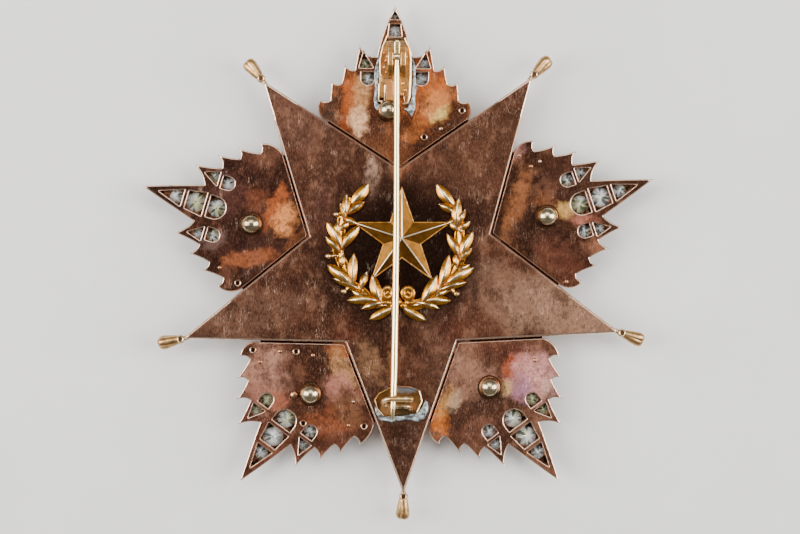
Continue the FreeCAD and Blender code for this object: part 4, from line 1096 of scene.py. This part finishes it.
TIES = [18.0, 162.0]


def branch_frame(side, place, radius):
    """Point of a branch and its own directions, along it and outwards."""
    angle = math.radians(place)
    outward = Vector((side * math.sin(angle), -math.cos(angle), 0))
    along = Vector((side * math.cos(angle), math.sin(angle), 0))
    return WREATH_CENTRE + outward * radius, along, outward


BLADE_ROWS = 16
BLADE_SECTION = [
    # across, height as part of the rise, wear: deep at its edges, and silvery along its middle
    (1.0, 0.42, 0.0), (0.9, 0.7, 0.35), (0.62, 0.86, 0.4), (0.36, 0.92, 0.5), (0.16, 1.0, 0.85),
]
BLADE_SECTION += [(-across, height, wear) for across, height, wear in reversed(BLADE_SECTION)]


def blade(base, tip, width, rise, bend=0.0):
    """Laurel leaf, plump and pointed, with a worn flat along its middle."""
    along = (tip - base).normalized()
    aside = Vector((-along.y, along.x, 0))
    length = (tip - base).length
    rows = []
    wear = []
    for row in range(BLADE_ROWS + 1):
        share = row / BLADE_ROWS
        half = width / 2 * max(0.04, math.sin(math.pi * share ** 1.15)) ** 0.6
        lift = rise * (0.58 + 0.42 * math.sin(math.pi * min(1.0, share * 1.1)))
        bow = bend * math.sin(math.pi * share)
        middle = base + along * length * share + aside * bow + UP * FITTING_BOTTOM
        rows.append([middle - aside * half, middle + aside * half]
                    + [middle + aside * half * across + UP * lift * height
                       for across, height, _ in BLADE_SECTION])
        wear += [0.0, 0.0] + [level for _, _, level in BLADE_SECTION]
    points, faces = skin(rows)
    return Shape().add(points, faces, wear)


def stem_radius(place):
    return 8.9 + 0.016 * place + 0.0006 * max(0, place - 85) ** 2


wreath = Shape()
for side, rows in ((-1, LAUREL_LEFT), (1, LAUREL_RIGHT)):
    for number, (place, radius, lean, length, width) in enumerate(rows):
        base, along, outward = branch_frame(side, place, radius)
        lean = math.radians(lean)
        way = along * math.cos(lean) + outward * math.sin(lean)
        rise = 1.2 + 0.1 * (number % 4)
        bend = 0.16 * side * (1 if lean > 0 else -1)
        wreath.join(blade(base - way * BLADE_ROOT, base + way * length, width * BLADE_PLUMP, rise, bend))
    for place, lean in SPRIGS:
        base, along, outward = branch_frame(side, place, stem_radius(place) + 0.4)
        way = along * math.cos(math.radians(lean)) + outward * math.sin(math.radians(lean))
        wreath.join(blade(base, base + way * 2.9, 1.25, 1.0, 0.1))
    inner = []
    outer = []
    for place in range(STEM_FROM, STEM_TO + 1, 3):
        taper = min(1.0, 0.25 + (STEM_TO - place) / 35)
        wave = 0.25 * math.sin(math.radians(11 * place + 40 * side))
        inner.append(branch_frame(side, place, stem_radius(place) - (0.75 + wave) * taper)[0])
        outer.append(branch_frame(side, place, stem_radius(place) + (1.15 - wave) * taper)[0])
    bed = build_plate(loop_of(inner + outer[::-1]), FITTING_BOTTOM, FITTING_BOTTOM + BED_RISE,
                      0.18, 0.3, 0.7, uneven(0.9, 0.12, side))
    wreath.join(bed.rubbed(0.15, 0.45))
    stem = [branch_frame(side, place, stem_radius(place))[0] for place in range(STEM_FROM, STEM_TO + 1, 4)]
    wreath.join(strip(stem, STEM_HALF_WIDTH, FITTING_BOTTOM, FITTING_BOTTOM + STEM_RISE, (0.2, 0.5)))
for direction in TIES:
    way = flat(1, 0, direction)
    start = SMALL_STAR_CENTRE + way * (SMALL_STAR - 0.8)
    wreath.join(blade(start, start + way * 3.4, 1.4, 0.85))
for side, place, radius in BERRIES:
    centre, _, outward = branch_frame(side, place, radius)
    wreath.join(dome(centre + UP * FITTING_BOTTOM, 0.68, 1.0, 20, 6, worn=0.8))
    wreath.join(blade(centre - outward * 2.2, centre, 0.8, 0.6))
for across, up in BOW_LOOPS:
    centre = KNOT_CENTRE + Vector((across, up, FITTING_BOTTOM + 0.5))
    curl = []
    for step in range(28):
        angle = math.radians(-110 + 345 * step / 27)
        reach = 0.92 - 0.1 * step / 27
        curl.append(centre + Vector((reach * math.cos(angle) * (1 if across > 0 else -1),
                                     reach * math.sin(angle), 0.12 * step / 27)))
    wreath.join(tube(curl, 0.56, 16, 0.55))
    wreath.join(dome(centre - UP * 0.4, 0.8, 0.75, 20, 5, worn=0.4))
for across, up, size, height in KNOT_LUMPS:
    foot = KNOT_CENTRE + Vector((across, up, FITTING_BOTTOM))
    wreath.join(dome(foot, size, height, 20, 6, 0.2, worn=0.5))
for across, up in RIBBON_TAILS:
    way = Vector((across, up, 0))
    wreath.join(blade(KNOT_CENTRE + way * 0.1, KNOT_CENTRE + way, 1.75, 1.0, -0.15 if across > 0 else 0.15))

corners = []
for number in range(2 * ARMS):
    reach = SMALL_STAR * (SMALL_STAR_RATIO if number % 2 else 1.0)
    corners.append(SMALL_STAR_CENTRE + flat(reach, 0, 90 + HALF_STEP * number) + UP * FITTING_BOTTOM)
edge = [corner + UP * SMALL_STAR_FLOOR for corner in corners]
peak = SMALL_STAR_CENTRE + UP * (FITTING_BOTTOM + SMALL_STAR_RISE)
faces = [[number, (number + 1) % 10, 10 + (number + 1) % 10, 10 + number] for number in range(10)]
faces += [[10 + number, 10 + (number + 1) % 10, 20] for number in range(10)] + [list(reversed(range(10)))]
small_star = Shape().add(corners + edge + [peak], faces, 0.1)
for number in range(0, 2 * ARMS, 2):
    small_star.join(tube([edge[number].lerp(peak, 0.01), peak], [0.1, 0.15], 12, 1.0))
for start, end in zip(edge, edge[1:] + edge[:1]):
    small_star.join(tube([start, end], 0.14, 12, 0.45))

upright = turned_by(-math.degrees(SEEN_TURN))
gilt = gold_paint("gilt", paint(80, 46, 16), paint(206, 142, 54), paint(214, 194, 154),
                  0.27, 1.2, 0.45, 0.68)
add_piece("wreath", Shape().join(wreath, upright), gilt, instead=["wreath_and_star"], sharp=32.0)
star_gilt = gold_paint("small_star_gilt", paint(74, 44, 15), paint(204, 142, 60), paint(240, 222, 190),
                       0.42, 1.2, 0.5)
add_piece("small_star", Shape().join(small_star, upright), star_gilt, sharp=25.0)


# Hinge on the top leaf

HINGE_PLACE = Vector((-0.06, 36.12, 0))
HINGE_TURN = -1.5
HINGE_BASE = [
    # across, up, from the axle
    (-2.3, 3.0), (1.75, 3.0), (2.35, 0.9), (2.45, -3.2), (2.2, -7.9), (1.4, -7.9), (1.2, -6.6),
    (-2.0, -6.6), (-2.1, -6.95), (-3.1, -6.95), (-3.0, -2.8), (-2.9, 1.0),
]
HINGE_LUMPS_PX = [
    # place and radius in pixels
    (384, 53, 1.6), (386, 60, 1.8), (384.5, 67, 1.7), (386.5, 72, 1.6), (403, 83, 1.8), (405.5, 90, 1.6),
    (402.5, 94, 1.8), (405, 66, 1.4), (406, 58, 1.5),
]
HINGE_FLOOR = 5.19
HINGE_TOP = 5.99
LUG_THICK = 0.95
LUG_GAP = 1.25
LUG_SIDE = [
    # along the pin, height
    (1.75, 5.6), (1.75, 9.15), (0.85, 10.05), (-1.5, 10.05), (-3.1, 8.65), (-3.1, 5.6),
]

hinge_at = turned_by(HINGE_TURN, HINGE_PLACE)
hinge = Shape()
hinge.join(build_plate(loop_of(HINGE_BASE), HINGE_FLOOR, HINGE_TOP, 0.14, 0.3, 0.6,
                       uneven(1.3, 0.05, 2.0)).rubbed(0.3, 0.8), hinge_at)
along_pin = Matrix(((0, 0, 1, 0), (1, 0, 0, 0), (0, 1, 0, 0), (0, 0, 0, 1)))
for start in (-LUG_GAP / 2 - LUG_THICK, LUG_GAP / 2):
    lug = build_plate(loop_of(LUG_SIDE), start, start + LUG_THICK, 0.16, 0.25, 0.6)
    hinge.join(lug.rubbed(0.35, 0.6), hinge_at @ along_pin)
axle_reach = LUG_GAP / 2 + LUG_THICK + 0.02
hinge.join(tube([(-axle_reach, 0, AXLE_HEIGHT), (axle_reach, 0, AXLE_HEIGHT)], 0.35, 20, 0.6), hinge_at)
HINGE_WALLS_PX = [
    # half width in millimetres, and the wall's course
    (0.13, [(387, 36), (383, 46), (380, 60), (380.2, 74), (383, 78), (392, 78.5)]),
    (0.2, [(405, 38), (409.3, 48), (410.6, 60), (410.4, 80), (409.6, 96), (407.5, 103), (402, 104)]),
    (0.13, [(379, 84), (378.6, 101), (384.5, 102), (385, 85)]),
]
for half, line in HINGE_WALLS_PX:
    hinge.join(strip([seen(x, y) for x, y in line], half, HINGE_TOP - 0.3, HINGE_TOP + 0.4, (0.3, 0.85)))
HINGE_STEP_PX = [(381.5, 76.5), (393.5, 80), (393.5, 104.5), (386.4, 104.5), (386.2, 84), (381.5, 82)]
step = build_plate(loop_of([seen(x, y) for x, y in HINGE_STEP_PX]), HINGE_TOP - 0.1, HINGE_TOP + 0.18,
                   0.08, 0.3, 0.6)
hinge.join(step.rubbed(0.35, 0.6))
for x, y, size in HINGE_LUMPS_PX:
    hinge.join(dome(seen(x, y, HINGE_TOP), size * PIXEL, 0.22, 16, 5, 0.4, (1.0, 1.5), worn=0.5))
for number in range(5):
    row = 38.5 + 2.0 * number
    hinge.join(strip([seen(388.5, row), seen(394, row - 0.4), seen(401, row - 0.2), seen(406, row + 0.3)],
                     0.1, HINGE_TOP - 0.1, HINGE_TOP + 0.1, (0.2, 0.5)))
HINGE_PATCHES = [
    (383.5, 62, 3.5, 0.7, 3.0, 0, (150, 88, 48), 0.7),
    (397, 41, 6, 1.8, 0.8, 0, (150, 128, 108), 0.8),
    (390, 88, 5, 1.0, 2.0, 0, (206, 138, 90), 0.7),
    (404, 98, 4, 1.0, 1.4, 0, (130, 72, 46), 0.7),
]
hinge_metal = gold_paint("hinge_gold", paint(92, 56, 30), paint(202, 146, 82), paint(240, 208, 160),
                         0.32, 1.2, 0.4, patches=HINGE_PATCHES)
add_piece("hinge", hinge, hinge_metal, instead=["hinge_bracket"], sharp=35.0)


# Pin, modelled about its axle

PIN_ROWS = [
    # radius, distance from the axle, bow to the right
    (0.5, 0.3, 0.0), (0.5, 8.0, 0.06), (0.5, 17.0, 0.16), (0.53, 22.0, 0.21), (0.57, 27.0, 0.25),
    (0.6, 31.0, 0.26), (0.6, 40.0, 0.26), (0.6, 50.0, 0.23), (0.6, 55.5, 0.2), (0.56, 58.5, 0.12),
    (0.5, 60.8, 0.04), (0.38, 62.2, 0.0), (0.25, 62.95, 0.0), (0.16, 63.22, 0.0), (0.06, 63.3, 0.0),
]
BARREL_RADIUS = 0.75
BARREL_HALF = 0.525
HEEL_HALF = 0.45
HEEL_REACH = 2.9

pin = Shape()
rows = [[Vector((bow + radius * math.cos(turn), -reach, radius * math.sin(turn)))
         for turn in (2 * math.pi * side / 40 for side in range(40))] for radius, reach, bow in PIN_ROWS]
points, faces = skin(rows)
pin.add(points, faces, 0.9)
barrel = [(BARREL_RADIUS - 0.1, -BARREL_HALF), (BARREL_RADIUS, -BARREL_HALF + 0.1),
          (BARREL_RADIUS, BARREL_HALF - 0.1), (BARREL_RADIUS - 0.1, BARREL_HALF)]
pin.join(lathe(barrel, 40, worn=0.9), tilt(90, "Y"))
straight = HEEL_REACH - BARREL_HALF
heel = [(-BARREL_HALF, 0), (BARREL_HALF, 0)]
heel += [(BARREL_HALF * math.cos(math.radians(turn)), straight + BARREL_HALF * math.sin(math.radians(turn)))
         for turn in range(0, 181, 15)]
pin.join(build_plate(loop_of(heel), -HEEL_HALF, HEEL_HALF, 0.2, 0.15, 0.3).rubbed(0.4, 0.7))
pin_at = turned_by(HINGE_TURN, (HINGE_PLACE.x, HINGE_PLACE.y, AXLE_HEIGHT))
pin_metal = gold_paint("pin_gold", paint(196, 142, 70), paint(250, 220, 154), paint(253, 228, 172),
                       0.17, 4.0, 0.15)
add_piece("pin_and_heel", Shape().join(pin, pin_at), pin_metal, body="swing_pin",
          instead=["pin"])


# Catch on the lowest arm

CATCH_PLACE = Vector((-0.55, -24.08, 0))
CATCH_OUTLINE = [
    # across, up
    (-4.4, 0.35), (-3.6, 1.6), (-1.2, 2.9), (1.9, 2.8), (3.7, 2.1), (4.2, 0.2), (3.3, -1.9),
    (-2.8, -2.6), (-3.85, -1.4),
]
RIM_STRETCHES = [
    # first and last corner, wear of its top
    (0, 2, 0.45), (2, 4, 0.2), (4, 6, 0.8), (6, 7, 0.1), (7, 9, 0.8),
]
CATCH_TOP = 6.94
RIM_TOP = 7.29
WIRE_RADIUS = 0.45
WIRE_END_RADIUS = 0.6
HOOK_LEAN = math.radians(-30.0)
HOOK_RISE = 1.2 / math.cos(HOOK_LEAN)
HOOK_LEFT = -1.35
HOOK_CORNER = 0.6
HOOK_FOOT = 1.9
HOOK_END = 2.3

catch_at = turned_by(-math.degrees(SEEN_TURN), CATCH_PLACE)
catch = Shape()
catch.join(build_plate(loop_of(CATCH_OUTLINE), FITTING_BOTTOM, CATCH_TOP, 0.14, 0.3, 0.6,
                       uneven(1.8, 0.07, 5.0)).rubbed(0.12, 0.5), catch_at)
rim = [(across * 0.955, up * 0.93) for across, up in CATCH_OUTLINE]
for first, last, wear in RIM_STRETCHES:
    stretch = (rim + rim)[first:last + 1]
    catch.join(strip(stretch, 0.1, CATCH_TOP - 0.2, RIM_TOP, (0.25, wear)), catch_at)


def on_hook(across, up):
    """Point of the hook's own leaning plane."""
    return Vector((across, -up * math.sin(HOOK_LEAN), AXLE_HEIGHT + up * math.cos(HOOK_LEAN)))


foot_drop = (AXLE_HEIGHT - FITTING_BOTTOM - 0.35) / math.cos(HOOK_LEAN)
wire = [on_hook(HOOK_FOOT, -foot_drop), on_hook(HOOK_FOOT, -HOOK_RISE - HOOK_CORNER)]
for turn in (30, 60, 90):
    wire.append(on_hook(HOOK_FOOT - HOOK_CORNER * (1 - math.cos(math.radians(turn))),
                        -HOOK_RISE - HOOK_CORNER * (1 - math.sin(math.radians(turn)))))
for turn in range(-90, 91, 15):
    wire.append(on_hook(HOOK_LEFT - HOOK_RISE * math.cos(math.radians(turn)),
                        HOOK_RISE * math.sin(math.radians(turn))))
wire.append(on_hook(HOOK_END - 0.3, HOOK_RISE))
thick = [WIRE_RADIUS] * (len(wire) - 1) + [WIRE_END_RADIUS]
catch.join(tube(wire, thick, 20, 0.6), catch_at)
CATCH_TINTS_AND_SHADOW = [
    (407, 388, 6, 2.2, 0.7, 0, (126, 132, 136), 0.9),
    (409, 386, 4, 2.4, 0.3, 0, (196, 124, 72), 0.8),
    (378, 404, 4, 0.8, 1.6, 0, (84, 48, 26), 0.7),
    # Painted shadow under the hook, on the catch's floor.
    (404, 409, 7, 1.4, 0.6, 0, (84, 70, 46), 0.7),
    (386, 409, 5, 1.0, 1.0, 0, (196, 140, 90), 0.7),
    (413, 406, 4, 1.0, 1.0, 0, (190, 120, 76), 0.7),
]
catch_metal = gold_paint("catch_gold", paint(64, 38, 20), paint(204, 150, 80), paint(250, 226, 182),
                         0.36, 1.4, 0.4, patches=CATCH_TINTS_AND_SHADOW)
add_piece("catch_and_hook", catch, catch_metal, instead=["catch"], sharp=35.0)


# Solder round the hinge and the catch

SOLDER_PX = [
    # lowest height, its thickness, and the pool's outline
    (LEAF_BACK - 0.05, 0.42, [
        (379.5, 54), (377, 60), (375, 66), (374, 76), (375, 88), (373.4, 98), (374.5, 107), (378, 112),
        (383, 110), (386, 106), (380, 104.5), (378, 102), (378.4, 84), (379.6, 74), (379.6, 60)]),
    (LEAF_BACK - 0.05, 0.48, [
        (411.4, 56), (414, 61), (416.5, 68), (415.6, 76), (417, 86), (415.4, 97), (416, 107), (412, 117),
        (408, 113), (403, 108), (408, 106), (411, 96), (412, 80)]),
    (PLATE_TOP - 0.05, 0.62, [
        (374.6, 406), (375.4, 414), (380, 420), (391, 422.5), (405, 420), (412, 420.5), (418, 422.5),
        (425, 418), (429, 410), (428, 402), (424.6, 399), (422, 406), (417.5, 411.5), (410, 413.5),
        (400, 415), (390, 415.5), (383, 414.5), (377.5, 406)]),
]
heaps = Shape()
for number, (low, thick, outline) in enumerate(SOLDER_PX):
    pool = loop_of([seen(x, y) for x, y in outline])
    heaps.join(build_plate(pool, low, low + thick, thick * 0.48, 0.25, 0.45, uneven(0.7, 0.2, number)))
add_piece("solder", heaps, solder, sharp=60.0)


# The parts kept from the CAD frame

front_metal = gold_paint("front_metal", paint(216, 176, 148), paint(220, 182, 154), paint(240, 214, 192),
                         0.24, 4.0)
front = nodes["star_front"]
front.data.materials.clear()
front.data.materials.append(front_metal)


# Table, light and camera

FLOOR_SIZE = 1.4
FLOOR_GAP = 0.05 * MM         # keeps the table's face apart from the boss that rests on it
bpy.ops.mesh.primitive_plane_add(size=FLOOR_SIZE, location=(0, 0, -FLOOR_GAP))
floor = bpy.context.object
floor.name = "floor"
floor.data.materials.append(floor_paint())


def soft_light(name, place, wide, high, watts):
    """Area light turned towards the star's middle."""
    lamp = bpy.data.lights.new(name, "AREA")
    lamp.shape = "RECTANGLE"
    lamp.size = wide
    lamp.size_y = high
    lamp.energy = watts
    holder = bpy.data.objects.new(name, lamp)
    bpy.context.scene.collection.objects.link(holder)
    holder.location = place
    holder.rotation_euler = (-Vector(place)).to_track_quat("-Z", "Y").to_euler()


LIGHTS = [
    # name, place in metres, width, height, watts
    ("light_left", (-0.42, 0.05, 0.34), 0.3, 0.5, 4.6),
    ("light_right", (0.42, 0.02, 0.34), 0.3, 0.5, 4.2),
    ("light_above", (0.0, 0.3, 0.6), 0.5, 0.3, 2.0),
]
for light in LIGHTS:
    soft_light(*light)

STUDIO_GREY = (0.5, 0.5, 0.5, 1)
STUDIO_STRENGTH = 0.5
world = bpy.data.worlds.new("studio")
world.use_nodes = True
world.node_tree.nodes["Background"].inputs["Color"].default_value = STUDIO_GREY
world.node_tree.nodes["Background"].inputs["Strength"].default_value = STUDIO_STRENGTH
bpy.context.scene.world = world

CAMERA_LENS = 150
CAMERA_SENSOR = 36
SEEN_HEIGHT = 6.2
distance = PICTURE_WIDE_PX * PIXEL * CAMERA_LENS / CAMERA_SENSOR
lens = bpy.data.cameras.new("camera")
lens.lens = CAMERA_LENS
lens.sensor_width = CAMERA_SENSOR
lens.clip_start = 0.01
camera = bpy.data.objects.new("camera", lens)
bpy.context.scene.collection.objects.link(camera)
camera.location = (seen(*PICTURE_PX, distance + SEEN_HEIGHT)) * MM
camera.rotation_euler = (0, 0, -SEEN_TURN)
bpy.context.scene.camera = camera
